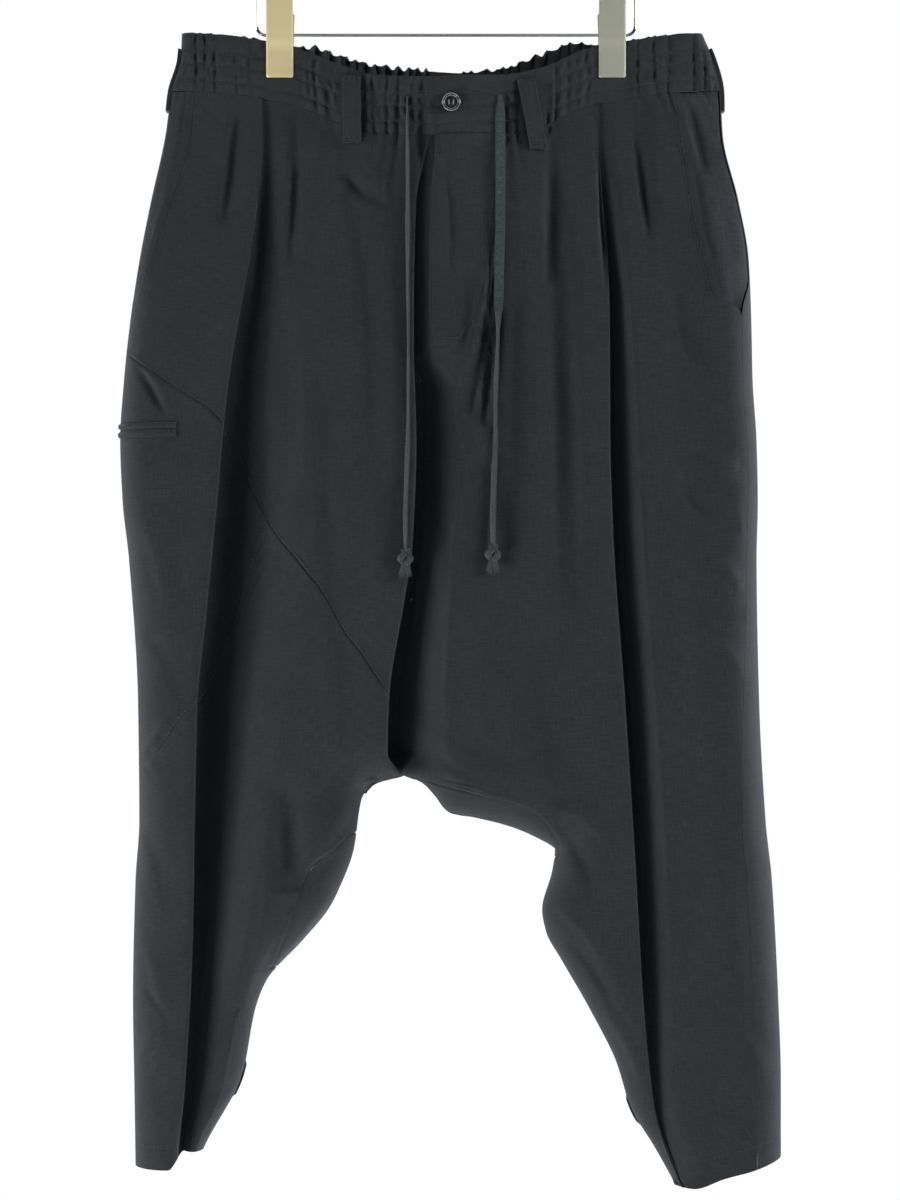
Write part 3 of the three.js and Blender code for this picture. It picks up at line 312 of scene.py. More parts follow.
class Path:
    """Bent line on the garment's front or back, in x and level."""

    def __init__(self, points: Array) -> None:
        """Measures the line through points of x and level."""
        self.points = np.asarray(points, float)
        steps = np.hypot(*np.diff(self.points, axis=0).T)
        self.at = np.concatenate([[0.0], np.cumsum(steps)])
        self.length = float(self.at[-1])

    @classmethod
    def through(cls, x1: float, l1: float, x2: float, l2: float, x3: float, l3: float) -> "Path":
        """Curve through three points."""
        t = np.linspace(0, 1, 13)
        first, middle, last = (1 - t) * (1 - 2 * t), 4 * t * (1 - t), t * (2 * t - 1)
        return cls(np.stack([first * x1 + middle * x2 + last * x3, first * l1 + middle * l2 + last * l3], 1))

    def locate(self, x: Array, level: Array) -> tuple[Array, Array, Array]:
        """Finds the nearest place on the line.

        Args:
            x, level: Places across, and their levels.

        Returns:
            Side (minus is left of a line that runs down), share of the length, and distance.
        """
        best = np.full(x.shape, np.inf)
        share = np.zeros(x.shape)
        side = np.ones(x.shape)
        for i in range(len(self.points) - 1):
            (ax, al), (bx, bl) = self.points[i], self.points[i + 1]
            dx, dl = bx - ax, bl - al
            length = dx * dx + dl * dl
            if length == 0:
                continue
            t = clamp(((x - ax) * dx + (level - al) * dl) / length)
            px, pl = x - (ax + t * dx), level - (al + t * dl)
            distance = np.hypot(px, pl)
            closer = distance < best
            best = np.where(closer, distance, best)
            share = np.where(closer, (self.at[i] + t * math.sqrt(length)) / self.length, share)
            side = np.where(closer, np.where(px * dl - pl * dx >= 0, 1.0, -1.0), side)
        return side, share, best


@dataclass(frozen=True)
class Seam:
    """Sewn line that puckers and dips the cloth beside it."""

    path: tuple[tuple[float, float], ...]
    dip: float
    width: float
    pucker: float
    reach: float
    pitch: float
    lap: float

    def over(self, x: Array, level: Array) -> Array:
        """Height that the seam adds at each place, outwards.

        Args:
            x, level: Places across, and their levels.

        Returns:
            Millimetres.
        """
        path = Path(np.array(self.path))
        out = np.zeros_like(x)
        near = boxed(x, level, path.points[:, 0], path.points[:, 1], 3 * self.reach)
        if near.any():
            side, share, distance = path.locate(x[near], level[near])
            along = share * path.length
            phase = 2 * math.pi * along / self.pitch + 2.3 * np.sin(along / 17.0) + 1.1 * np.sin(along / 7.3)
            beside = hill(distance, 0, self.reach) * (1 - hill(distance, 0, 2.0))
            ripple = self.pucker * np.sin(phase) * beside
            step = np.where(side < 0, self.lap * hill(distance, 0, 7.0), 0.0)
            out[near] = -self.dip * hill(distance, 0, self.width) + ripple + step
        return out


class Unevenness:
    """Smooth seeded noise, for the small swells that worn cloth has."""

    def __init__(self, seed: int, across: float, down: float) -> None:
        """Draws the lattice.

        Args:
            seed: Fixed seed.
            across: Size of a swell along x.
            down: Size of a swell along the level.
        """
        self.lattice = np.random.default_rng(seed).uniform(-1, 1, (61, 67))
        self.across, self.down = across, down

    def __call__(self, x: Array, level: Array) -> Array:
        """Noise of about -1 to 1.

        Args:
            x, level: Places across, and their levels.

        Returns:
            The noise at each place.
        """
        u, v = x / self.across + 500, level / self.down + 500
        i, j = np.floor(u).astype(int), np.floor(v).astype(int)
        fu, fv = u - i, v - j
        fu, fv = fu * fu * (3 - 2 * fu), fv * fv * (3 - 2 * fv)
        rows, columns = self.lattice.shape
        a, b, c, d = (self.lattice[(i + p) % rows, (j + q) % columns] for q in (0, 1) for p in (0, 1))
        return mix(mix(a, b, fu), mix(c, d, fu), fv)


FRONT_CREASES = tuple(Crease(*row) for row in (
    (-165, 40, -167, 80, -176, 150, 2.2, 7, -8), (-116, 42, -119, 90, -122, 175, 2.6, 8, -8.5),
    (-141, 42, -143, 100, -150, 200, 1.6, 8, -11), (118, 42, 119, 110, 123, 195, 1.6, 6, -9),
    (144, 40, 149, 90, 158, 165, 3, 9, -8), (80, 56, 80, 110, 78, 180, 3, 9, -6.5),
    (185, 44, 192, 70, 202, 112, 2, 5, -5), (-80, 84, -64, 95, -46, 98, 4, 8, -4),
    (-4, 62, 3, 110, 2, 172, 4, 8, -4.5), (41, 122, 31, 207, 19, 290, 3, 5, -7),
    (32, 150, 22, 215, 8, 262, 4, 5, 4), (40, 190, 35, 231, 29, 300, 2.6, 5, -8),
    (-240, 262, -230, 274, -217, 300, 2.4, 4, -3.4), (-83, 50, -62, 190, -58, 400, 7, 12, -4.5),
    (-95, 235, -93, 370, -72, 560, 6, 11, -4), (-126, 575, -122, 615, -118, 665, 12, 14, -11),
    (19, 130, 17, 240, 12, 380, 8, 13, -4), (54, 110, 54, 240, 50, 400, 10, 14, -4),
    (84, 80, 89, 300, 90, 500, 10, 18, -7), (160, 100, 188, 320, 192, 430, 14, 22, -5),
    (60, 470, 74, 535, 92, 600, 14, 24, -8), (-234, 262, -221, 278, -213, 296, 2, 3.2, 2.4),
    (-250, 310, -238, 302, -222, 300, 2.4, 4, 2.2), (-228, 334, -216, 322, -200, 316, 3, 4, -1.6),
    (-236, 380, -222, 410, -214, 450, 4, 8, 1.6), (-232, 470, -215, 486, -202, 520, 4, 7, -1.9),
    (-238, 560, -224, 548, -212, 530, 3, 4.5, 1.8), (-240, 610, -222, 640, -214, 680, 5, 8, -1.9),
    (-236, 700, -224, 730, -216, 770, 5, 6, 1.9), (-232, 742, -222, 752, -210, 770, 2.6, 4, -1.8),
    (-238, 800, -228, 780, -214, 776, 3, 5, 1.6), (-100, 100, -96, 170, -94, 240, 5, 8, 1.9),
    (-132, 150, -124, 240, -122, 330, 6, 9, -2.2), (-104, 270, -108, 330, -116, 390, 5, 7, 2.1),
    (-86, 420, -90, 480, -104, 540, 6, 9, 2.4), (-60, 330, -56, 400, -62, 470, 5, 8, 1.9),
    (-78, 560, -96, 590, -118, 600, 6, 8, -3.5), (-72, 600, -92, 620, -110, 650, 5, 7, 2.9),
    (-84, 640, -104, 652, -118, 680, 4, 6, -2.9), (-88, 664, -104, 690, -120, 712, 3, 5, 2.2),
    (-136, 640, -142, 700, -156, 760, 5, 8, 2.6), (-126, 700, -140, 728, -150, 752, 4, 6, -2.4),
    (-160, 760, -170, 790, -184, 820, 4, 6, 1.9), (-150, 800, -166, 816, -184, 826, 3, 5, -1.9),
    (22, 210, 28, 260, 30, 330, 6, 8, 2.2), (64, 150, 70, 260, 74, 360, 6, 9, 2.4),
    (100, 120, 107, 300, 112, 470, 7, 9, 4.2), (34, 330, 40, 420, 30, 520, 8, 12, -2.9),
    (10, 420, 16, 500, 8, 570, 7, 10, 2.6), (-10, 560, 20, 585, 70, 600, 5, 8, 2.9),
    (0, 540, 34, 560, 84, 566, 8, 10, -2.9), (40, 500, 62, 560, 96, 590, 6, 8, 2.6),
    (84, 610, 104, 640, 118, 690, 5, 8, -3.2), (88, 600, 110, 612, 134, 640, 5, 7, 2.6),
    (84, 680, 100, 690, 124, 720, 4, 7, 2.2), (92, 704, 112, 724, 132, 760, 4, 6, -2.2),
    (120, 760, 136, 780, 150, 812, 4, 6, 1.9), (158, 90, 162, 160, 168, 230, 6, 9, 2.6),
    (176, 200, 188, 250, 210, 280, 5, 8, -2.6), (172, 300, 196, 330, 224, 340, 6, 8, 2.9),
    (178, 350, 200, 378, 226, 384, 5, 7, -3.2), (184, 400, 204, 410, 228, 432, 4.5, 7, 2.9),
    (176, 430, 200, 450, 230, 456, 5, 6, -2.2), (180, 470, 206, 476, 230, 500, 5, 7, 2.1),
    (170, 380, 176, 450, 180, 540, 8, 11, 3.2), (196, 520, 206, 580, 208, 660, 9, 12, -2.9),
    (178, 600, 188, 680, 192, 760, 8, 10, 2.4), (214, 640, 222, 700, 228, 760, 5, 8, 1.9),
    (186, 740, 200, 800, 206, 850, 7, 9, -2.2), (222, 760, 236, 790, 250, 800, 4, 6, 2.2),
    (216, 800, 234, 820, 252, 822, 4, 6, -1.9),
))
BACK_CREASES = tuple(Crease(*row) for row in (
    (-158, 46, -172, 300, -190, 700, 18, 24, -12), (-96, 60, -100, 240, -92, 470, 14, 20, -8),
    (-20, 60, -26, 300, -32, 540, 14, 20, -15), (52, 50, 54, 260, 66, 520, 14, 20, -9),
    (128, 46, 138, 330, 172, 800, 18, 24, -12), (-186, 120, -196, 240, -200, 380, 7, 12, 3.5),
    (-132, 140, -138, 300, -134, 420, 8, 12, 3.8), (-70, 180, -64, 330, -58, 500, 7, 11, 3.2),
    (16, 120, 20, 260, 12, 420, 7, 12, 3.2), (92, 150, 100, 300, 112, 470, 8, 12, 3.5),
    (176, 120, 190, 280, 204, 460, 8, 12, 3.2), (-40, 500, -84, 540, -130, 548, 8, 12, -4.8),
    (-46, 470, -90, 500, -150, 500, 7, 10, 3.5), (-30, 540, 20, 566, 80, 566, 8, 12, -3.2),
    (-28, 500, 30, 530, 96, 520, 7, 10, 3.8), (-90, 600, -120, 640, -150, 690, 7, 10, 3.2),
    (-110, 640, -140, 690, -164, 760, 6, 9, -3.2), (94, 620, 120, 680, 140, 760, 7, 10, 3.5),
    (110, 610, 140, 640, 180, 650, 6, 9, -3.2), (190, 560, 204, 640, 212, 740, 8, 12, 2.9),
    (-216, 520, -222, 620, -218, 720, 7, 10, -2.6), (-206, 760, -198, 800, -204, 850, 6, 8, 2.2),
    (206, 780, 216, 820, 214, 856, 6, 9, -2.2),
))
CREASES = {Layer.FRONT: FRONT_CREASES, Layer.BACK: BACK_CREASES}


def seam_of(line: Line, start: float, end: float, swap: bool = False) -> tuple[tuple[float, float], ...]:
    """Points of a cut line, for a Seam.

    Args:
        line: The line.
        start: First place on it.
        end: Last place on it.
        swap: True where the line gives x for a level, False where it gives a level for x.

    Returns:
        Pairs of x and level.
    """
    places = np.linspace(start, end, 30)
    values = line(places)
    return tuple(zip(values, places)) if swap else tuple(zip(places, values))


class Drape:
    """Shape of the cloth as it hangs, before it is cut into panels.

    In its methods x holds places across, and level the levels of the same places.
    """

    EDGE_RADIUS = 36.0
    ARCH_RADIUS = 42.0
    ARCH_STEP = 8.0
    PINCH_RADIUS = 10.0
    GATHER_PITCH = 11.0
    TUCK_HEIGHT = 4.4
    HEM_STITCH = 17.5

    def __init__(self) -> None:
        """Reads every table once."""
        self.left, self.right = OUTLINE.line("left"), OUTLINE.line("right")
        self.left_inseam, self.right_inseam = LEFT_INSEAM.line("x"), RIGHT_INSEAM.line("x")
        self.opening = WAIST.line("opening")
        self.thickness = {Layer.FRONT: THICKNESS.line("front"), Layer.BACK: THICKNESS.line("back")}
        self.sag = {Layer.FRONT: WAIST.line("front"), Layer.BACK: WAIST.line("back")}
        self.fold_offset = FOLD_SECTION.line("offset")
        self.fold_share = FOLD_SECTION.line("share")
        self.fold_depth = FOLD_SECTION.line("depth")
        self.hem_line = RIGHT_HEM_DROP.line("drop")
        left = [(float(self.left_inseam(v)), v) for v in np.arange(LEFT_HEM, CROTCH, -self.ARCH_STEP)]
        right = [(float(self.right_inseam(v)), v) for v in np.arange(CROTCH, RIGHT_HEM, self.ARCH_STEP / 2)]
        self.arch = Path(np.array(left + right))
        self.swell = (Unevenness(3, 34, 60), Unevenness(5, 15, 26), Unevenness(8, 7, 11))
        gussets = (
            Seam(seam_of(RIGHT_GUSSET.line("x"), 582, 640, True), 0.6, 1.1, 0.5, 7.0, 10.0, 0.4),
            Seam(seam_of(LEFT_GUSSET.line("x"), 624, 726, True), 0.6, 1.1, 0.4, 7.0, 10.0, 0.3),
        )
        self.seams = {
            Layer.FRONT: (
                Seam(seam_of(CURVED_SEAM.line("level"), -250, -30), 0.7, 1.1, 0.35, 8.0, 12.0, 0.7),
                Seam(seam_of(LOWER_SEAM.line("level"), -238, -142), 0.6, 1.1, 0.6, 9.0, 13.0, 0.5),
                *gussets,
            ),
            Layer.BACK: (
                Seam(seam_of(CENTRE_BACK.line("x"), 46, 579, True), 0.9, 1.2, 0.4, 8.0, 14.0, 0.5),
                *gussets,
            ),
        }

    def bulge(self, layer: Layer, x: Array, level: Array) -> Array:
        """Distance from the middle plane to the smooth cloth, never below zero."""
        edge = np.maximum(0.0, np.minimum(x - self.left(level), self.right(level) - x))
        full = self.thickness[layer](level)
        arch = np.ones_like(edge)
        low = level > 480
        if low.any():
            arch[low] = rounded(self.arch.locate(x[low], level[low])[2], self.ARCH_RADIUS)
        hung = full * rounded(edge, np.minimum(self.EDGE_RADIUS, full * 1.2)) * arch
        pinched = self.opening(x) * rounded(edge, self.PINCH_RADIUS)
        return mix(pinched, hung, rise(25, 240, level))

    def relief(self, layer: Layer, x: Array, level: Array) -> Array:
        """Height of the creases and small swells."""
        height = np.zeros_like(x)
        for crease in CREASES[layer]:
            height += crease.over(x, level)
        wide, middle, small = (swell(x, level) for swell in self.swell)
        return height + (0.55 * wide + 0.32 * middle + 0.14 * small) * rise(50, 90, level)

    def pleats(self, layer: Layer, x: Array, level: Array) -> Array:
        """Uneven gathers that the elastic draws in: 0 on their crests, down to -0.95."""
        lane = layer.value * 300.0
        line = x / (1 + np.maximum(0.0, level - BAND_DEPTH) / 420)
        wander = 1.1 * self.swell[1](x, level * 0.8 + lane)
        bunched = 1.9 * np.sin(0.093 * line + layer.value) + 1.1 * np.sin(0.21 * line + 2)
        phase = 2 * math.pi * line / self.GATHER_PITCH + bunched + wander
        strength = np.clip(0.65 + 0.6 * self.swell[0](line, lane + 90), 0.15, 0.95)
        return -strength * ((1 + np.cos(phase)) / 2) ** 2.2

    def tucks(self, layer: Layer, x: Array, level: Array) -> Array:
        """Height of the gathers where they run out of the band and down the cloth."""
        below = np.maximum(0.0, level - BAND_DEPTH)
        reach = np.maximum(9.0, 30 + 28 * self.swell[0](x, layer.value * 300.0 + 190))
        stiff = 0.7 * (1 - rise(25, 33, np.abs(x - 17))) if layer is Layer.FRONT else 0.0
        drawn = self.TUCK_HEIGHT * self.pleats(layer, x, level) * np.exp(-below / reach)
        room = clamp((self.bulge(layer, x, level) - PINCH) / 8)
        return drawn * (1 - stiff) * rise(32, 45, level) * room

    def sewn(self, layer: Layer, x: Array, level: Array) -> Array:
        """Height of the seams and of the folded hem, which stay even where the cloth thins out."""
        height = np.zeros_like(x)
        for seam in self.seams[layer]:
            height += seam.over(x, level)
        hem = np.where(x < 0, LEFT_HEM, RIGHT_HEM) - level
        pucker = 0.45 * np.sin(x / 1.7 + 1.4 * np.sin(x / 8.0)) * hill(hem, 17, 6.0)
        height += 0.5 * rise(18.5, 16.5, hem) - 0.45 * hill(hem, self.HEM_STITCH, 1.1) + pucker * (hem < 45)
        return height

    def depth(self, layer: Layer, x: Array, level: Array, share: Array) -> Array:
        """Depth of the cloth, with its sign.

        Args:
            layer: Front or back.
            x, level: Places across, and their levels.
            share: Share of the depth that a deep fold takes away.

        Returns:
            The y of each place.
        """
        out = self.bulge(layer, x, level)
        room = clamp(out / mix(12, 30, rise(90, 250, level)))
        soft = self.relief(layer, x, level) * room * rise(42, 66, level)
        soft += self.tucks(layer, x, level)
        distance = np.maximum(np.maximum(SEAM / 2, out * 0.06), (out + soft) * (1 - share))
        distance += self.sewn(layer, x, level) * clamp(out / 6) * (1 - 0.6 * share)
        return layer.value * distance

    def hem_drop(self, x: Array, level: Array) -> Array:
        """How far a hem hangs lower at a place."""
        left = -12 * rise(-214, -203, x) * rise(815, LEFT_HEM, level)
        right = self.hem_line(x) * rise(790, RIGHT_HEM, level)
        return np.where(x < 0, left, right)

    def hang(self, layer: Layer, x: Array, level: Array) -> Array:
        """How far the sag of the waist lowers a place."""
        return self.sag[layer](x) * (1 - rise(60, 420, level))

    def points(self, layer: Layer, x: Array, level: Array, share: Array | float = 0.0) -> Array:
        """Points of the cloth.

        Args:
            layer: Front or back.
            x, level: Places across, and their levels.
            share: Share of the depth that a deep fold takes away.

        Returns:
            An array with x, y and z last.
        """
        x, level = np.broadcast_arrays(np.asarray(x, float), np.asarray(level, float))
        share = np.broadcast_to(np.asarray(share, float), x.shape)
        y = self.depth(layer, x.copy(), level.copy(), share)
        z = WAIST_Z - level - self.hang(layer, x, level) - self.hem_drop(x, level)
        return np.stack([x, y, z], -1)


def rounded(distance: Array, radius: Array | float) -> Array:
    """Quarter ellipse: 0 at the edge and 1 past the radius."""
    return np.sqrt(1 - (1 - clamp(distance / radius)) ** 2)


DRAPE = Drape()
LEFT_DEEP, CENTRE_DEEP, RIGHT_DEEP = DeepFold(LEFT_FOLD), DeepFold(CENTRE_FOLD), DeepFold(RIGHT_FOLD)
FOLD_BOTTOM = 0.64
FOLD_SPANS = ((0, 0.3, 10), (0.3, FOLD_BOTTOM, 12), (FOLD_BOTTOM, 1.0, 14))
FOLD_TICKS = np.unique(np.concatenate([np.linspace(*span) for span in FOLD_SPANS] + [[FOLD_BOTTOM]]))
CROTCH_TURN = 20.0
INNER_ROUND = 12.0
FRONT_GAP = 0.03
BACK_GAP = 0.1
GUSSET_LEFT_SPAN = (624.0, 726.0)
GUSSET_RIGHT_SPAN = (582.0, 641.0)
POCKET_CLOSE_LEFT = (203.0, 216.0)
POCKET_CLOSE_RIGHT = (208.0, 224.0)
STRIP_COLUMNS = 29
LEFT_GUSSET_LINE, RIGHT_GUSSET_LINE = LEFT_GUSSET.line("x"), RIGHT_GUSSET.line("x")
POCKET_LEFT_LINE, POCKET_RIGHT_LINE = POCKET_LEFT.line("x"), POCKET_RIGHT.line("x")
INSET_LINE = SIDE_SEAM.line("inset")
CURVED_LINE, LOWER_LINE = CURVED_SEAM.line("level"), LOWER_SEAM.line("level")
CENTRE_BACK_LINE = CENTRE_BACK.line("x")
FLY_LEFT_LINE, FLY_RIGHT_LINE = FLY_EDGE.line("left"), FLY_EDGE.line("right")


@dataclass
class Places:
    """Places on the pattern: x, level and the share of depth taken by a deep fold."""

    x: Array
    level: Array
    share: Array

    def points(self) -> Array:
        """Points of the front's cloth at these places."""
        return DRAPE.points(Layer.FRONT, self.x, self.level, self.share)


@dataclass
class Column:
    """One column of a panel: places, and for the crotch other places that they turn into."""

    upper: Places
    lower: Places | None = None
    weight: Array | None = None

    def x(self) -> Array:
        """Place across, after the turn."""
        return self.upper.x if self.lower is None else mix(self.upper.x, self.lower.x, self.weight)


ColumnAt = Callable[[Array], Column]
Edge = Callable[[Array], Array]


def even(x: Array, level: Array) -> Places:
    """Places on plain cloth."""
    return Places(np.asarray(x, float), np.asarray(level, float), np.zeros(np.shape(x)))


def within(span: tuple[float, float], level: Array) -> Array:
    """True where a level lies in a span."""
    return (np.asarray(level) >= span[0] - 1) & (np.asarray(level) <= span[1] + 1)


def left_inner(level: Array) -> Array:
    """Inner edge of the photo-left leg's panels."""
    plain = DRAPE.left_inseam(level)
    return np.where(within(GUSSET_LEFT_SPAN, level), np.minimum(LEFT_GUSSET_LINE(level), plain), plain)


def right_inner(level: Array) -> Array:
    """Inner edge of the photo-right leg's panels."""
    plain = DRAPE.right_inseam(level)
    return np.where(within(GUSSET_RIGHT_SPAN, level), np.maximum(RIGHT_GUSSET_LINE(level), plain), plain)


def left_outer(level: Array) -> Array:
    """Outer edge of the photo-left front: the slant pocket's mouth, then the side."""
    return mix(POCKET_LEFT_LINE(level), DRAPE.left(level), rise(*POCKET_CLOSE_LEFT, level))


def right_outer(level: Array) -> Array:
    """Outer edge of the photo-right front: the slant pocket's mouth, then the side seam."""
    seam = DRAPE.right(level) - INSET_LINE(level) - 0.2
    return mix(POCKET_RIGHT_LINE(level), seam, rise(*POCKET_CLOSE_RIGHT, level))


def right_rest(level: Array) -> Array:
    """Where the photo-right leg's rounded inner edge ends."""
    return mix(right_inner(level), RIGHT_DEEP.start(level), 0.3)


def crotch_turn(level: Array) -> Array:
    """0 above the crotch and 1 below it."""
    return rise(CROTCH - CROTCH_TURN, CROTCH, level)


def left_middle(level: Array) -> Array:
    """Where the cloth between the left fold and the centre fold ends."""
    inner = np.where(level < CROTCH, CENTRE_DEEP.start(level), left_inner(level) - INNER_ROUND)
    return np.maximum(inner, LEFT_DEEP.foot(level) + 2)


def right_middle(level: Array) -> Array:
    """Where the cloth between the centre fold and the right fold starts."""
    return mix(CENTRE_DEEP.foot(level), right_rest(np.maximum(level, CROTCH)), crotch_turn(level))


def between(start: Edge, end: Edge, share: float) -> ColumnAt:
    """Column on plain cloth, a share of the way from one edge to another."""
    def column(level: Array) -> Column:
        """Places of the column."""
        return Column(even(mix(start(level), end(level), share), level))
    return column


def on_fold(fold: DeepFold, along: float) -> ColumnAt:
    """Column on a deep fold's section."""
    def column(level: Array) -> Column:
        """Places of the column."""
        return Column(fold.places(along, level))
    return column


def left_centre(along: float) -> ColumnAt:
    """Column down to the centre fold's bottom, and on the leg's rounded inner edge below it."""
    def column(level: Array) -> Column:
        """Places of the column."""
        upper = CENTRE_DEEP.places(along, np.minimum(level, CROTCH))
        upper.x = upper.x - (FRONT_GAP if along == FOLD_BOTTOM else 0.0)
        inner = left_inner(np.maximum(level, CROTCH))
        start = np.minimum(np.maximum(inner - INNER_ROUND, LEFT_DEEP.foot(level) + 2), inner - 1)
        lower = even(mix(start, inner, math.sin(math.pi / 2 * along / FOLD_BOTTOM)), level)
        return Column(upper, lower, crotch_turn(level))
    return column


def right_slope(t: float) -> ColumnAt:
    """Column on the centre fold's slope, and on the leg's rounded inner edge below it."""
    def column(level: Array) -> Column:
        """Places of the column."""
        upper = CENTRE_DEEP.places(float(mix(FOLD_BOTTOM, 1.0, t)), np.minimum(level, CROTCH))
        upper.x = upper.x + (FRONT_GAP if t == 0 else 0.0)
        low = np.maximum(level, CROTCH)
        lower = even(mix(right_inner(low), right_rest(low), 1 - math.cos(math.pi / 2 * t)), level)
        return Column(upper, lower, crotch_turn(level))
    return column


def left_columns() -> list[ColumnAt]:
    """Columns of the photo-left front, from the side to the centre fold."""
    strip = [1 - math.cos(math.pi / 2 * t) for t in np.linspace(0, 1, STRIP_COLUMNS + 1)[:-1]]
    columns = [between(left_outer, LEFT_DEEP.start, share) for share in strip]
    columns += [on_fold(LEFT_DEEP, along) for along in FOLD_TICKS]
    columns += [between(LEFT_DEEP.foot, left_middle, t) for t in np.linspace(0, 1, 36)[1:-1]]
    return columns + [left_centre(along) for along in FOLD_TICKS[FOLD_TICKS <= FOLD_BOTTOM]]


def right_columns() -> list[ColumnAt]:
    """Columns of the photo-right front, from the centre fold to the side."""
    side = [math.sin(math.pi / 2 * t) for t in np.linspace(0, 1, 38)[1:]]
    columns = [right_slope(float(t)) for t in np.linspace(0, 1, 16)]
    columns += [between(right_middle, RIGHT_DEEP.start, t) for t in np.linspace(0, 1, 44)[1:-1]]
    columns += [on_fold(RIGHT_DEEP, along) for along in FOLD_TICKS]
    return columns + [between(RIGHT_DEEP.foot, right_outer, share) for share in side]


def meet(column: ColumnAt, seam: Line, guess: float) -> float:
    """The level at which a column meets a seam that gives a level for each x."""
    level = guess
    for _ in range(24):
        level = 0.5 * (level + float(seam(column(np.array([level])).x()[0])))
    return level


def closer_at_ends(length: float, pitch: float) -> Array:
    """Shares of a length, close together near both ends so that seams stay crisp.

    Args:
        length: Length in millimetres.
        pitch: Spacing in the middle.

    Returns:
        Rising shares from 0 to 1.
    """
    first = 5.5
    ends = np.array([0.0, 0.7, 1.5, 2.5, 3.8]) / length
    inner = np.linspace(first / length, 1 - first / length, max(2, round((length - 2 * first) / pitch) + 1))
    return np.concatenate([ends, inner, (1 - ends)[::-1]])


def gather(columns: Sequence[ColumnAt], top: Array, bottom: Array, shares: Array) -> Array:
    """Points of a panel between two edges.

    Args:
        columns: The panel's columns.
        top: Level of the upper edge at each column.
        bottom: Level of the lower edge at each column.
        shares: Shares of the way down.

    Returns:
        Grid of points, rows down and columns across.
    """
    made = [column(mix(top[j], bottom[j], shares)) for j, column in enumerate(columns)]
    x, level, share = (np.stack([getattr(c.upper, key) for c in made], 1) for key in ("x", "level", "share"))
    points = Places(x, level, share).points()
    other = np.zeros_like(points)
    weight = np.zeros(points.shape[:2])
    for j, column in enumerate(made):
        if column.lower is not None and column.weight.max() > 0:
            other[:, j] = column.lower.points()
            weight[:, j] = column.weight
    return points * (1 - weight[..., None]) + other * weight[..., None]


def inward(grid: Array) -> Array:
    """Unit normals into the garment, square to the seams along a grid's borders.

    Args:
        grid: Rows down and columns clockwise seen from above.

    Returns:
        One normal for each point.
    """
    across = np.empty_like(grid)
    across[:, 1:-1] = grid[:, 2:] - grid[:, :-2]
    across[:, 0], across[:, -1] = grid[:, 1] - grid[:, 0], grid[:, -1] - grid[:, -2]
    down = np.empty_like(grid)
    down[1:-1] = grid[2:] - grid[:-2]
    down[0], down[-1] = grid[1] - grid[0], grid[-1] - grid[-2]
    normal = unit(np.cross(across, down))
    for _ in range(3):
        far = np.pad(normal, ((1, 1), (1, 1), (0, 0)), mode="edge")
        normal = (far[:-2, 1:-1] + far[2:, 1:-1] + far[1:-1, :-2] + far[1:-1, 2:] + 2 * normal) / 6
    normal[[0, -1], :, 2] = 0
    for j in (0, -1):
        sideways = (np.abs(grid[:, j, 1]) < SEAM) | (np.abs(normal[:, j, 0]) > 2 * np.abs(normal[:, j, 1]))
        normal[sideways, j, 1] = 0
        normal[~sideways, j, 0] = 0
    return unit(normal)


def unit(rows: Array) -> Array:
    """Vectors of length 1 with the same directions."""
    return rows / np.maximum(np.linalg.norm(rows, axis=-1, keepdims=True), 1e-12)


def placed(name: str, data: bpy.types.ID) -> bpy.types.Object:
    """New object in the scene, at the origin."""
    made = bpy.data.objects.new(name, data)
    bpy.context.scene.collection.objects.link(made)
    return made


def make_mesh(name: str, points: Array, faces: list, uv: Array | None = None) -> bpy.types.Object:
    """Makes an object from points in millimetres.

    Args:
        name: Name of the object.
        points: Its points.
        faces: Point numbers of each face.
        uv: Place of each point in the weave, in metres.

    Returns:
        The new object, at the origin and smooth.
    """
    mesh = bpy.data.meshes.new(name)
    mesh.from_pydata((np.asarray(points) * MM).tolist(), [], faces)
    if uv is not None:
        layer = mesh.uv_layers.new(name="Weave")
        corner = np.empty(len(mesh.loops), np.int32)
        mesh.loops.foreach_get("vertex_index", corner)
        layer.data.foreach_set("uv", uv[corner].astype(np.float32).ravel())
    mesh.shade_smooth()
    mesh.set_sharp_from_angle(angle=math.radians(62))
    mesh.validate()
    return placed(name, mesh)


def sheet_faces(rows: int, columns: int) -> tuple[Array, Array]:
    """Point numbers of a grid and the faces of its two sides, the second side's points coming after."""
    number = np.arange(rows * columns).reshape(rows, columns)
    a, b, c, d = number[:-1, :-1], number[1:, :-1], number[1:, 1:], number[:-1, 1:]
    over, under = np.stack([a, b, c, d], -1).reshape(-1, 4), np.stack([a, d, c, b], -1).reshape(-1, 4)
    return number, np.concatenate([over, under + rows * columns])


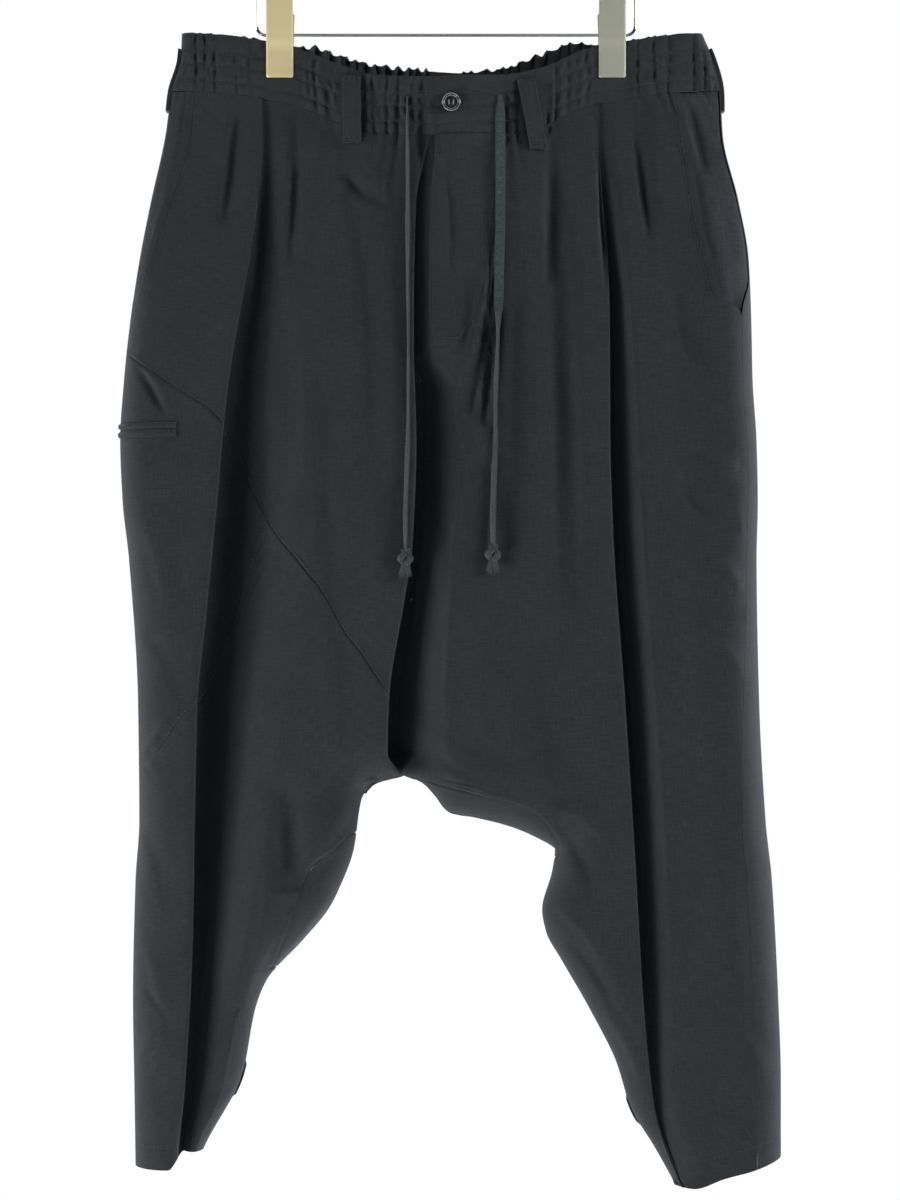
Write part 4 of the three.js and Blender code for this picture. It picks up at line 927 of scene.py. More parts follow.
def shell(name: str, grid: Array, wall: float | Array, start: float | Array = 0.0) -> bpy.types.Object:
    """Closed sheet of cloth through a grid of points.

    Args:
        name: Name of the object.
        grid: Rows down and columns clockwise seen from above.
        wall: Thickness, one for all or one for each column.
        start: How far under the points the sheet begins; minus lies over them.

    Returns:
        The sheet.
    """
    rows, columns = grid.shape[:2]
    normal = inward(grid)
    start = np.broadcast_to(np.asarray(start, float), (columns,))[None, :, None]
    wall = np.broadcast_to(np.asarray(wall, float), (columns,))[None, :, None]
    outer, inner = grid + normal * start, grid + normal * (start + wall)
    step_u = np.linalg.norm(np.diff(grid, axis=1, prepend=grid[:, :1]), axis=-1).cumsum(1)
    u = step_u - step_u[:, columns // 2][:, None]
    uv = np.stack([u, grid[..., 2]], -1).reshape(-1, 2) * MM
    number, sides = sheet_faces(rows, columns)
    under = rows * columns
    faces = [sides]
    for edge, flip in ((number[:, 0], False), (number[:, -1], True), (number[0], True), (number[-1], False)):
        p, q = (edge[1:], edge[:-1]) if flip else (edge[:-1], edge[1:])
        faces.append(np.stack([p, p + under, q + under, q], -1))
    points = np.concatenate([outer.reshape(-1, 3), inner.reshape(-1, 3)])
    return make_mesh(name, points, np.concatenate(faces).tolist(), np.concatenate([uv, uv]))


Tree = bpy.types.NodeTree
Node = bpy.types.Node
Socket = bpy.types.NodeSocket
Colour = tuple[float, float, float]


class Slot(Enum):
    """Material slots of the record."""

    CLOTH = "cloth"
    TAPE = "tape"
    BUTTON = "button"
    CHROME = "chrome"
    CLIP_SATIN = "clip_satin"
    CLIP_GRAINED = "clip_grained"


def feed(tree: Tree, node: Node, inputs: dict[str | int, object]) -> None:
    """Links or sets a node's inputs, each from a socket or a constant."""
    for key, value in inputs.items():
        if isinstance(value, Socket):
            tree.links.new(value, node.inputs[key])
        else:
            node.inputs[key].default_value = value


def add_node(tree: Tree, kind: str, inputs: dict[str | int, object] | None = None, **options: str) -> Node:
    """Adds a node.

    Args:
        tree: The tree that it goes into.
        kind: Its type.
        inputs: A socket or a constant for each input that isn't left as it is.
        options: Its other settings.

    Returns:
        The node.
    """
    node = tree.nodes.new(kind)
    for name, value in options.items():
        setattr(node, name, value)
    feed(tree, node, inputs or {})
    return node


def math_node(tree: Tree, kind: str, *values: Socket | float) -> Socket:
    """Output of a new Math node."""
    return add_node(tree, "ShaderNodeMath", dict(enumerate(values)), operation=kind).outputs["Value"]


def two_tone(
    tree: Tree, factor: Socket, low: tuple[float, Colour], high: tuple[float, Colour], easing: str = "LINEAR"
) -> Socket:
    """Colour that goes from one tone to another.

    Args:
        tree: The tree.
        factor: What the colour follows.
        low: Position and colour of the first stop.
        high: Position and colour of the last stop.
        easing: How the ramp goes between them.

    Returns:
        The colour.
    """
    node = add_node(tree, "ShaderNodeValToRGB", {"Fac": factor})
    node.color_ramp.interpolation = easing
    for stop, (position, colour) in zip(node.color_ramp.elements, (low, high)):
        stop.position = position
        stop.color = (*colour, 1)
    return node.outputs["Color"]


def bumped(tree: Tree, height: Socket, strength: float, distance: float) -> Socket:
    """Normal that follows a height."""
    values = {"Strength": strength, "Distance": distance, "Height": height}
    return add_node(tree, "ShaderNodeBump", values).outputs["Normal"]


def noise_in(tree: Tree, where: Socket, scale: Sequence[float], detail: float, rough: float = 0.5) -> Socket:
    """Noise with its own number of cells a metre each way.

    Args:
        tree: The tree.
        where: The place.
        scale: Cells a metre each way.
        detail: Finer layers of the noise.
        rough: Strength of those layers.

    Returns:
        The noise.
    """
    mapping = add_node(tree, "ShaderNodeMapping", {"Vector": where, "Scale": scale})
    values = {"Vector": mapping.outputs["Vector"], "Scale": 1.0, "Detail": detail, "Roughness": rough}
    return add_node(tree, "ShaderNodeTexNoise", values).outputs["Fac"]


def thread_rows(tree: Tree, uv: Socket, way: str, pitch: float, distortion: float) -> Socket:
    """Height of rows of thread, counted along a direction of the weave, with a pitch in millimetres."""
    values = {
        "Vector": uv,
        "Scale": math.pi * 2 / 20 / (pitch * MM),
        "Distortion": distortion,
        "Detail": 1.0,
        "Detail Scale": 0.35,
    }
    return add_node(tree, "ShaderNodeTexWave", values, bands_direction=way).outputs["Fac"]


@dataclass(frozen=True)
class Finish:
    """Look of a surface, and the record's slot that it belongs to."""

    name: str
    slot: Slot
    colour: Colour

    def make(self) -> bpy.types.Material:
        """Builds the material once.

        Returns:
            The material.
        """
        found = bpy.data.materials.get(self.name)
        if found is not None:
            return found
        material = bpy.data.materials.new(self.name)
        material.use_nodes = True
        self.paint(material.node_tree, material.node_tree.nodes["Principled BSDF"])
        return material

    def paint(self, tree: Tree, shader: Node) -> None:
        """Feeds the shader with the plain colour."""
        feed(tree, shader, {"Base Color": (*self.colour, 1)})


@dataclass(frozen=True)
class ClothFinish(Finish):
    """Slubby plain weave, or a finish like it on tape and thread, laid out by the weave's UV map."""

    light: float = 1.5
    dark: float = 0.66
    thread: float = 0.9
    slub: float = 14.0
    bump: float = 0.35
    roughness: float = 0.92
    sheen: float = 0.22
    sheen_roughness: float = 0.5
    sheen_tint: Colour = (0.75, 0.82, 0.9)
    twill: bool = False

    def paint(self, tree: Tree, shader: Node) -> None:
        """Feeds the shader with slubs, worn patches and crossing threads.

        Args:
            tree: The material's tree.
            shader: Its shader.
        """
        uv = add_node(tree, "ShaderNodeUVMap", uv_map="Weave").outputs["UV"]
        fine = 1000 / self.thread
        warp = noise_in(tree, uv, (fine, fine / self.slub, 1), 2.5, 0.6)
        weft = noise_in(tree, uv, (fine / self.slub, fine, 1), 2.5, 0.6)
        both = math_node(tree, "ADD", warp, weft)
        place = add_node(tree, "ShaderNodeTexCoord").outputs["Object"]
        patch = add_node(tree, "ShaderNodeTexNoise", {"Vector": place, "Scale": 26.0, "Detail": 4.0})
        worn = math_node(tree, "MULTIPLY_ADD", patch.outputs["Fac"], 0.35, 0.82)
        shade = math_node(tree, "MULTIPLY", math_node(tree, "MULTIPLY", both, worn), 0.78)
        dark, light = ([c * share for c in self.colour] for share in (self.dark, self.light))
        height = math_node(tree, "MULTIPLY_ADD", both, 0.6, self.threads(tree, uv))
        feed(tree, shader, {
            "Base Color": two_tone(tree, shade, (0.56, dark), (1.0, light)),
            "Roughness": self.roughness,
            "Sheen Weight": self.sheen,
            "Sheen Roughness": self.sheen_roughness,
            "Sheen Tint": (*self.sheen_tint, 1),
            "Specular IOR Level": 0.25,
            "Normal": bumped(tree, height, self.bump, 0.0004),
        })

    def threads(self, tree: Tree, uv: Socket) -> Socket:
        """Height of the threads: crossing ones, or the slanted ones of a twill."""
        if self.twill:
            return thread_rows(tree, uv, "DIAGONAL", self.thread * 1.6, 0.5)
        crossing = (thread_rows(tree, uv, way, self.thread * 1.15, 1.4) for way in "XY")
        return math_node(tree, "MULTIPLY", *crossing)


@dataclass(frozen=True)
class HardFinish(Finish):
    """Metal or horn, with fine marks in its roughness and bump, laid out by Object coordinates."""

    roughness: float
    metallic: float = 1.0
    mark_scale: tuple[float, float, float] = (400.0, 400.0, 400.0)
    mark: float = 0.08
    bump: float = 0.02
    mottle: Colour | None = None
    coat: float = 0.0

    def paint(self, tree: Tree, shader: Node) -> None:
        """Feeds the shader with marks, and with swirls where the finish is mottled.

        Args:
            tree: The material's tree.
            shader: Its shader.
        """
        super().paint(tree, shader)
        place = add_node(tree, "ShaderNodeTexCoord").outputs["Object"]
        marks = noise_in(tree, place, self.mark_scale, 3.0)
        feed(tree, shader, {
            "Metallic": self.metallic,
            "Coat Weight": self.coat,
            "Coat Roughness": 0.08,
            "Roughness": math_node(tree, "MULTIPLY_ADD", marks, self.mark, self.roughness - self.mark / 2),
            "Normal": bumped(tree, marks, self.bump, 0.0003),
        })
        if self.mottle is not None:
            swirl = add_node(tree, "ShaderNodeTexNoise", {"Vector": place, "Scale": 220.0, "Distortion": 1.5})
            tones = two_tone(tree, swirl.outputs["Fac"], (0.42, self.colour), (0.75, self.mottle))
            feed(tree, shader, {"Base Color": tones})


CHARCOAL = ClothFinish("charcoal_weave", Slot.CLOTH, (0.0163, 0.018, 0.0199))
BAND_CLOTH = ClothFinish("charcoal_band", Slot.CLOTH, (0.0177, 0.0193, 0.0211), thread=0.85, bump=0.4)
LINING = ClothFinish("pocket_cloth", Slot.CLOTH, (0.026, 0.029, 0.033), bump=0.3)
TWILL = {"thread": 0.7, "slub": 5, "bump": 0.5, "twill": True}
TAPE = ClothFinish("drawstring_tape", Slot.TAPE, (0.034, 0.045, 0.049), **TWILL)
SPUN = {"thread": 0.4, "slub": 3, "bump": 0.3, "roughness": 0.6}
THREAD = ClothFinish("topstitch_thread", Slot.CLOTH, (0.0245, 0.027, 0.0305), **SPUN)
PALE_THREAD = ClothFinish("button_thread", Slot.BUTTON, (0.16, 0.17, 0.17), **SPUN)
HORN = HardFinish(
    "horn_button", Slot.BUTTON, (0.012, 0.012, 0.014), 0.22, 0.0, mottle=(0.05, 0.046, 0.044), coat=0.6
)
CHROME = HardFinish("chrome_wire", Slot.CHROME, (0.62, 0.64, 0.67), 0.12, mark=0.06)
# Left clip plates: the brushed marks are real, but the warm beige colour is a painted reflection on satin
# chrome.
SATIN_PAINTED_REFLECTION = HardFinish(
    "satin_plate_painted_reflection", Slot.CLIP_SATIN, (0.84, 0.71, 0.41), 0.42, 0.35, (2600, 2600, 60), mark=0.18, bump=0.08
)
GRAINED = HardFinish(
    "grained_plate", Slot.CLIP_GRAINED, (0.47, 0.47, 0.38), 0.42, 0.35, (1500, 1500, 1500), mark=0.3, bump=0.5
)
# Pale grey finish of the rings on the button's rim: a painted highlight, not a lighter polished rim.
RIM_HIGHLIGHT_PAINT = HardFinish("painted_rim_highlight", Slot.BUTTON, (0.34, 0.35, 0.34), 0.3, 0.0, mark=0.05, coat=0.5)


def finish_piece(made: bpy.types.Object, finish: Finish, *nodes: str) -> bpy.types.Object:
    """Gives a piece its finish and its body, and hides the model's nodes that it stands for.

    Args:
        made: The piece.
        finish: Its finish.
        nodes: Nodes that it stands for.

    Returns:
        The piece.
    """
    if not made.data.materials:
        made.data.materials.append(finish.make())
    if nodes:
        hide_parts(*nodes)
    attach(made, BODY)
    LOG.info("%s: %d faces", made.name, len(made.data.polygons))
    return made


@dataclass
class StitchMaker:
    """Rows of single stitches along lines, as a Geometry Nodes tree."""

    pitch: float = 3.4
    length: float = 2.5
    thickness: float = 0.55
    tree: Tree | None = None

    def inputs(self, tree: Tree) -> None:
        """Adds the tree's inputs, with their defaults, and its output."""
        tree.interface.new_socket("Geometry", in_out="INPUT", socket_type="NodeSocketGeometry")
        for name, size in (("Pitch", self.pitch), ("Length", self.length), ("Thickness", self.thickness)):
            socket = tree.interface.new_socket(name, in_out="INPUT", socket_type="NodeSocketFloat")
            socket.default_value = size * MM
        tree.interface.new_socket("Material", in_out="INPUT", socket_type="NodeSocketMaterial")
        tree.interface.new_socket("Geometry", in_out="OUTPUT", socket_type="NodeSocketGeometry")

    def build(self) -> Tree:
        """Builds the tree once: a grain on each point of a resampled line, turned along it.

        Returns:
            The tree.
        """
        if self.tree is not None:
            return self.tree
        self.tree = tree = bpy.data.node_groups.new("stitch_rows", "GeometryNodeTree")
        self.inputs(tree)
        given = add_node(tree, "NodeGroupInput").outputs
        line = add_node(tree, "GeometryNodeMeshToCurve", {"Mesh": given["Geometry"]}).outputs["Curve"]
        spaced = {"Curve": line, "Length": given["Pitch"]}
        rows = add_node(tree, "GeometryNodeResampleCurve", spaced, mode="LENGTH").outputs["Curve"]
        grain = add_node(tree, "GeometryNodeMeshUVSphere", {"Segments": 6, "Rings": 4, "Radius": 0.5})
        sizes = {"X": given["Thickness"], "Y": given["Thickness"], "Z": given["Length"]}
        scale = add_node(tree, "ShaderNodeCombineXYZ", sizes).outputs["Vector"]
        shape = add_node(tree, "GeometryNodeTransform", {"Geometry": grain.outputs["Mesh"], "Scale": scale})
        tangent = add_node(tree, "GeometryNodeInputTangent").outputs["Tangent"]
        turn = add_node(tree, "FunctionNodeAlignRotationToVector", {"Vector": tangent}, axis="Z")
        grains = {"Points": rows, "Instance": shape.outputs["Geometry"], "Rotation": turn.outputs["Rotation"]}
        laid = add_node(tree, "GeometryNodeInstanceOnPoints", grains).outputs["Instances"]
        real = add_node(tree, "GeometryNodeRealizeInstances", {"Geometry": laid}).outputs["Geometry"]
        dyed = add_node(tree, "GeometryNodeSetMaterial", {"Geometry": real, "Material": given["Material"]})
        add_node(tree, "NodeGroupOutput", {"Geometry": dyed.outputs["Geometry"]})
        return tree

    def sew(self, name: str, lines: Sequence[Array]) -> bpy.types.Object:
        """Sews rows of stitches along lines and finishes them as a piece.

        Args:
            name: Name of the piece.
            lines: Points of each line, in millimetres.

        Returns:
            The stitches as a plain mesh.
        """
        points, edges, first = [], [], 0
        for line in lines:
            points += [tuple(p) for p in np.asarray(line) * MM]
            edges += [(first + i, first + i + 1) for i in range(len(line) - 1)]
            first += len(line)
        mesh = bpy.data.meshes.new(name + "_lines")
        mesh.from_pydata(points, edges, [])
        return finish_piece(self.grown(placed(name + "_lines", mesh), name), THREAD)

    def grown(self, guide: bpy.types.Object, name: str) -> bpy.types.Object:
        """Runs the tree on an object and keeps the result as a plain mesh.

        Args:
            guide: Object that the tree works on; it is removed.
            name: Name of the piece.

        Returns:
            The piece.
        """
        modifier = guide.modifiers.new("grow", "NODES")
        modifier.node_group = self.build()
        for item in modifier.node_group.interface.items_tree:
            if item.in_out == "INPUT" and item.name == "Material":
                modifier[item.identifier] = THREAD.make()
        graph = bpy.context.evaluated_depsgraph_get()
        graph.update()
        shown = guide.evaluated_get(graph)
        mesh = bpy.data.meshes.new_from_object(shown, preserve_all_data_layers=True, depsgraph=graph)
        mesh.name = name
        mesh.shade_smooth()
        made = placed(name, mesh)
        guide.modifiers.remove(modifier)
        bpy.data.objects.remove(guide, do_unlink=True)
        return made


STITCHES = StitchMaker()


def on_cloth(layer: Layer, x: Array, level: Array, lift: float = 0.25) -> Array:
    """Points just over plain cloth.

    Args:
        layer: Front or back.
        x: Places across.
        level: Levels of the same places.
        lift: How far over the cloth.

    Returns:
        The points.
    """
    points = DRAPE.points(layer, x, level)
    points[:, 1] += layer.value * lift
    return points


@dataclass(frozen=True)
class Cut:
    """Flat size of a panel before it was sewn: width and length in metres, and its area."""

    width: float
    length: float
    area: float


def hung_cloth(node: str, grid: Array, finish: ClothFinish = CHARCOAL, start: float | Array = 0.0) -> None:
    """Args:
        node: Its node.
        grid: Its points, rows down and columns clockwise seen from above.
        finish: Its finish.
        start: How far under the points the cloth begins.
    """
    made = finish_piece(shell(node + "_cloth", grid, CLOTH, start), finish, node)


@dataclass
class Panels:
    """Front and back panels, from the waistband's lower edge to the hems."""

    pitch: float = 3.0
    point: float = 0.8
    back_columns: int = 96
    stitch_off: float = 3.0
    pocket_rows: tuple[float, ...] = (5.5, 8.0)

    def build(self) -> None:
        """Makes every panel and its topstitching."""
        left, right = left_columns(), right_columns()
        curved = np.array([meet(c, CURVED_LINE, 330) for c in left])
        thigh = STRIP_COLUMNS + int(np.searchsorted(FOLD_TICKS, 0.8))
        lower = np.array([meet(c, LOWER_LINE, 500) for c in left[:thigh]])
        lower = np.append(lower, curved[thigh] + self.point)
        thigh += 1
        self.front("front_left_upper", left, np.full(len(left), PANEL_TOP), curved)
        self.front("thigh_panel_left", left[:thigh], curved[:thigh], lower)
        leg_top = np.concatenate([lower, curved[thigh:]])
        self.front("front_left_leg", left, leg_top, np.full(len(left), LEFT_HEM))
        self.front("front_right", right, np.full(len(right), PANEL_TOP), np.full(len(right), RIGHT_HEM))
        self.back_left()
        self.back_right()
        self.gusset("gusset_left", GUSSET_LEFT_SPAN, LEFT_GUSSET_LINE, DRAPE.left_inseam, True)
        self.gusset("gusset_right", GUSSET_RIGHT_SPAN, RIGHT_GUSSET_LINE, DRAPE.right_inseam, False)
        self.stitch_front(left, (curved, lower))
        self.stitch_hems()
        v = np.linspace(50, 560, 150)
        STITCHES.sew("centre_back_topstitch", [on_cloth(Layer.BACK, CENTRE_BACK_LINE(v) + 4, v)])

    def front(self, node: str, columns: Sequence[ColumnAt], top: Array, bottom: Array) -> None:
        """Makes one front panel, from the levels of its upper and lower edge at each column."""
        shares = closer_at_ends(float((bottom - top).max()), self.pitch)
        hung_cloth(node, gather(columns, top, bottom, shares))

    def back_levels(self, hem: float) -> Array:
        """Levels of a back panel's rows."""
        return mix(PANEL_TOP, hem, closer_at_ends(hem - PANEL_TOP, self.pitch))[:, None]

    def back_left(self) -> None:
        """Makes the photo-left back, from the centre seam or inseam to the side."""
        level = self.back_levels(LEFT_HEM)
        inner = np.where(level < CROTCH, CENTRE_BACK_LINE(level) - BACK_GAP, left_inner(level))
        t = np.linspace(0, 1, self.back_columns)[None]
        x = mix(inner, DRAPE.left(level), 0.5 - 0.5 * np.cos(math.pi * t))
        hung_cloth("back_left", DRAPE.points(Layer.BACK, x, level))

    def back_right(self) -> None:
        """Makes the photo-right back, which wraps round the side to the front's side seam."""
        level = self.back_levels(RIGHT_HEM)
        outer = DRAPE.right(level)
        inner = np.where(level < CROTCH, CENTRE_BACK_LINE(level) + BACK_GAP, right_inner(level))
        inset = np.array([1.0, 0.81, 0.64, 0.49, 0.36, 0.25, 0.16, 0.09, 0.04, 0.01])
        wrap = outer - INSET_LINE(level) * inset
        t = np.linspace(0, 1, self.back_columns)[None, 1:]
        x = mix(outer, inner, 0.5 - 0.5 * np.cos(math.pi * t))
        hung_cloth("back_right", round_edge(wrap, outer, x, level))

    def gusset(self, node: str, span: tuple[float, float], seam: Line, inseam: Line, clockwise: bool) -> None:
        """Makes a gusset round the inner edge of a leg.

        Args:
            node: Its node.
            span: Its first and last level.
            seam: Its seam with the front and back.
            inseam: The leg's inner edge.
            clockwise: True where its columns already run clockwise from above.
        """
        level = np.linspace(*span, 40)[:, None]
        t = 1 - (1 - np.linspace(0, 1, 14)[None, :-1]) ** 2
        x = mix(seam(level), inseam(level), t)
        grid = round_edge(x, inseam(level), x[:, ::-1], level)
        hung_cloth(node, grid if clockwise else grid[:, ::-1])

    def stitch_front(self, left: Sequence[ColumnAt], seams: Sequence[Array]) -> None:
        """Sews the rows beside the curved seams and the slant pockets.

        Args:
            left: Columns of the photo-left front.
            seams: Level of each curved seam at the first columns.
        """
        lines = []
        for levels in seams:
            row = [left[j](np.array([v - self.stitch_off])).upper.points()[0] for j, v in enumerate(levels)]
            lines.append(np.array(row) + np.array([0, -0.3, 0]))
        level = np.linspace(50, 205, 60)
        for inset in self.pocket_rows:
            lines.append(on_cloth(Layer.FRONT, POCKET_LEFT_LINE(level) + inset, level))
            lines.append(on_cloth(Layer.FRONT, POCKET_RIGHT_LINE(level) - inset, level))
        STITCHES.sew("front_topstitch", lines)

    def stitch_hems(self) -> None:
        """Sews the hems, in front only where the cloth is plain."""
        lines = []
        for hem, start, end in (
            (LEFT_HEM, DRAPE.left, DRAPE.left_inseam),
            (RIGHT_HEM, DRAPE.right_inseam, DRAPE.right),
        ):
            v = np.full(90, hem - DRAPE.HEM_STITCH)
            x = np.linspace(float(start(v[0])) + 6, float(end(v[0])) - 6, 90)
            clear = x < LEFT_DEEP.crest(v) - 8 if hem == LEFT_HEM else x > 206
            lines += [on_cloth(Layer.FRONT, x[clear], v[clear]), on_cloth(Layer.BACK, x, v)]
        STITCHES.sew("hem_topstitch", lines)


def round_edge(front: Array, edge: Array, back: Array, level: Array) -> Array:
    """Points of cloth that goes round an edge, from the front to the back.

    Args:
        front: Places across on the front.
        edge: Place of the edge, where the depth is 0.
        back: Places across on the back.
        level: Level of each row.

    Returns:
        Grid of points.
    """
    turn = DRAPE.points(Layer.BACK, edge, level)
    turn[..., 1] = 0
    front, back = DRAPE.points(Layer.FRONT, front, level), DRAPE.points(Layer.BACK, back, level)
    return np.concatenate([front, turn, back], 1)


@dataclass(frozen=True)
class Strap:
    """Belt loop: centre of its top and bottom as x and level, and the side that it lies on."""

    node: str
    top: tuple[float, float]
    bottom: tuple[float, float]
    layer: Layer = Layer.FRONT


def near(x: Array, centre: float, reach: float) -> Array:
    """1 near a place, 0 away from it."""
    return 1 - rise(reach, reach + 7, np.abs(x - centre))


@dataclass
class Waistband:
    """Gathered band with three rows of stitching, and its loops."""

    clip_x: float = 129.5
    step: float = 0.95
    rows: tuple[float, ...] = (14.0, 23.4, 35.9)
    flat_front: tuple[tuple[float, float], ...] = ((-73, 8), (68, 10), (17, 25))
    flat_back: tuple[tuple[float, float], ...] = ((0, 9),)
    crimp_pitch: float = 7.6
    crimp_height: float = 1.5
    loop_width: float = 14.0
    loop_wall: float = 1.8
    loop_seat: float = 0.8
    loop_rise: float = 4.0
    side_rise: float = 0.6
    back_rise: float = 6.0
    side_width: float = 13.0
    straps: tuple[Strap, ...] = (
        Strap("belt_loop_1", (-73, 5), (-72.5, 57)),
        Strap("belt_loop_2", (62, 7), (72, 63)),
        Strap("belt_loop_5", (0, 4), (0, 56), Layer.BACK),
    )
    jitter: Unevenness = field(default_factory=lambda: Unevenness(21, 11, 9))
    drift: Unevenness = field(default_factory=lambda: Unevenness(23, 38, 400))
    patch: Unevenness = field(default_factory=lambda: Unevenness(29, 9, 12))

    def build(self) -> None:
        """Makes the band, its stitching and the loops."""
        left, right = float(DRAPE.left(0)), float(DRAPE.right(0))
        self.band("waistband_back", Layer.BACK, left, right)
        self.band("waistband_front_left", Layer.FRONT, left, -9.1)
        self.band("waistband_front_right", Layer.FRONT, -9.0, right)
        for strap in self.straps:
            self.loop(strap)
        self.side_loop("belt_loop_3", -1)
        self.side_loop("belt_loop_4", 1)

    def humps(self, layer: Layer, level: Array) -> Array:
        """1 midway between the stitched rows and 0 on them.

        Args:
            layer: Front or back, which differ at the top edge.
            level: Levels.

        Returns:
            The share at each level.
        """
        out = np.zeros_like(level)
        marks = (0.0, *self.rows, BAND_DEPTH)
        for top, bottom in zip(marks, marks[1:]):
            share = clamp((level - top) / (bottom - top))
            hump = np.sin(math.pi * share)
            if top == 0:
                height = 0.3 if layer is Layer.FRONT else 1.0
                hump = np.maximum(0.8 * hump, height * np.cos(math.pi / 2 * share))
            out = np.where((level >= top) & (level <= bottom), hump, out)
        return out

    def gathers(self, layer: Layer, x: Array, level: Array) -> Array:
        """Height of the gathers and of the stitched rows, outwards.

        Args:
            layer: Front or back.
            x, level: Places across, and their levels.

        Returns:
            Millimetres.
        """
        flat = np.maximum(near(x, -self.clip_x, 12), near(x, self.clip_x, 12))
        for centre, reach in self.flat_front if layer is Layer.FRONT else self.flat_back:
            flat = np.maximum(flat, near(x, centre, reach))
        edge = np.minimum(x - DRAPE.left(level), DRAPE.right(level) - x)
        height = np.minimum(self.crimp_height, np.maximum(0, DRAPE.bulge(layer, x, level) - PINCH))
        hump = self.humps(layer, level)
        wobble = 0.9 * np.sin(x * 0.083) + 0.7 * np.sin(x * 0.031 + 2) + 2.6 * self.jitter(x, level)
        fine = 0.22 * (1 + self.drift(x, level)) * np.cos(2 * math.pi * x / self.crimp_pitch + wobble)
        loose = (1 - flat) * rise(3, 11, edge)
        drawn = DRAPE.pleats(layer, x, level) + 0.3 + fine * hump
        crimp = 2.5 * height * loose * drawn * (0.45 + 0.55 * hump) * (1 - 0.8 * rise(33, 45, level))
        puff = 0.5 * hump * (1 + 0.6 * self.patch(x, level)) * (1 - 0.6 * flat) * rise(0, 8, edge)
        groove = sum(-0.5 * hill(level, row, 0.9) for row in self.rows) * rise(0, 6, edge)
        return crimp + puff + groove + DRAPE.tucks(layer, x, level)

    def surface(self, layer: Layer, x: Array, level: Array, lift: float = 0.0) -> Array:
        """Points of the band.

        Args:
            layer: Front or back.
            x: Places across at the top edge.
            level: Levels of the same places.
            lift: How far over the band.

        Returns:
            The points.
        """
        x, level = np.broadcast_arrays(np.asarray(x, float), np.asarray(level, float))
        side = np.where(x < 0, DRAPE.left(level) - DRAPE.left(0.0), DRAPE.right(level) - DRAPE.right(0.0))
        x = x + side * rise(120, 200, np.abs(x))
        out = np.maximum(SEAM / 2, DRAPE.bulge(layer, x, level))
        height = self.gathers(layer, x, level)
        y = layer.value * np.maximum(out + height + lift, SEAM / 2)
        z = WAIST_Z - level - DRAPE.hang(layer, x, level)
        if layer is Layer.FRONT:
            z = z + height * 0.15 * (1 - rise(0, 5, level))
        else:
            z = z + height * 1.1 * (1 - rise(0, 5, level))
            z = z + self.back_rise * (1 - rise(98, 119, np.abs(x))) * (1 - level / BAND_DEPTH)
        return np.stack([x, y, z], -1)

    def band(self, node: str, layer: Layer, start: float, end: float) -> None:
        """Makes one length of the band and its three rows of stitches.

        Args:
            node: Its node.
            layer: Front or back.
            start: Place of its left end.
            end: Place of its right end.
        """
        x = np.linspace(start, end, round((end - start) / self.step))
        level = np.unique(np.concatenate([np.linspace(0, BAND_DEPTH, 31), [0.5, *self.rows]]))
        ordered = x if layer is Layer.FRONT else x[::-1]
        grid = self.surface(layer, ordered[None], level[:, None])
        made = finish_piece(shell(node + "_cloth", grid, BAND), BAND_CLOTH, node)
        lines = [self.surface(layer, x[3:-3:2], row, 0.3) for row in self.rows]
        sewn = STITCHES.sew(node + "_topstitch", lines)

    def loop(self, strap: Strap) -> None:
        """Makes a belt loop on the front or back."""
        t = np.linspace(0, 1, 44)[:, None]
        across = np.concatenate([[-0.5, -0.485, -0.45], np.linspace(-0.4, 0.4, 9), [0.45, 0.485, 0.5]])[None]
        x = mix(strap.top[0], strap.bottom[0], t)
        level = mix(strap.top[1], strap.bottom[1], t)
        ends = [DRAPE.bulge(strap.layer, x + side * self.loop_width, level) for side in (-0.5, 0.5)]
        off = self.loop_seat + self.loop_rise * np.sin(math.pi * t) + self.loop_wall
        edge = np.abs(across) * 2
        tack = -0.4 * (hill(t, 0.06, 0.03) + hill(t, 0.94, 0.03))
        depth = mix(ends[0], ends[1], across + 0.5) + off
        depth = depth + self.loop_hem(edge, 0.35, 0.3) + tack - 0.5 * (edge > 0.99)
        z = WAIST_Z - level - DRAPE.hang(strap.layer, x, level) + 0 * across
        place = x + across * self.loop_width + 0 * t
        grid = np.stack([place, strap.layer.value * depth, z], -1)
        over = grid + np.array([0, strap.layer.value * 0.25, 0])
        bars = [over[i, 2:-2] for i in (2, 3, 40, 41)]
        self.sew_loop(strap.node, grid, strap.layer is Layer.BACK, [over[:, 4], over[:, -5], *bars])

    def side_loop(self, node: str, side: int) -> None:
        """Makes a belt loop at the side, seen edge-on from the front."""
        line = DRAPE.left if side < 0 else DRAPE.right
        level = np.linspace(12, 60, 40)[:, None]
        across = np.concatenate([[0, 0.015, 0.05], np.linspace(0.1, 0.9, 9), [0.95, 0.985, 1]])[None]
        edge = np.abs(across - 0.5) * 2
        off = SEAM + self.loop_wall + self.side_rise * np.sin(math.pi * ((level - 12) / 48))
        x = line(level) + side * (off + self.loop_hem(edge, 0.3, 0.25))
        grid = np.stack([x, -3 + across * self.side_width + 0 * level, WAIST_Z - level + 0 * across], -1)
        over = grid + np.array([side * 0.25, 0, 0])
        self.sew_loop(node, grid, side < 0, [over[:, 4], over[:, -5]])

    @staticmethod
    def loop_hem(edge: Array, ridge: float, groove: float) -> Array:
        """Height of a loop's folded edges, and of the grooves of its stitches."""
        return ridge * hill(edge, 0.86, 0.07) - groove * hill(edge, 0.62, 0.08)

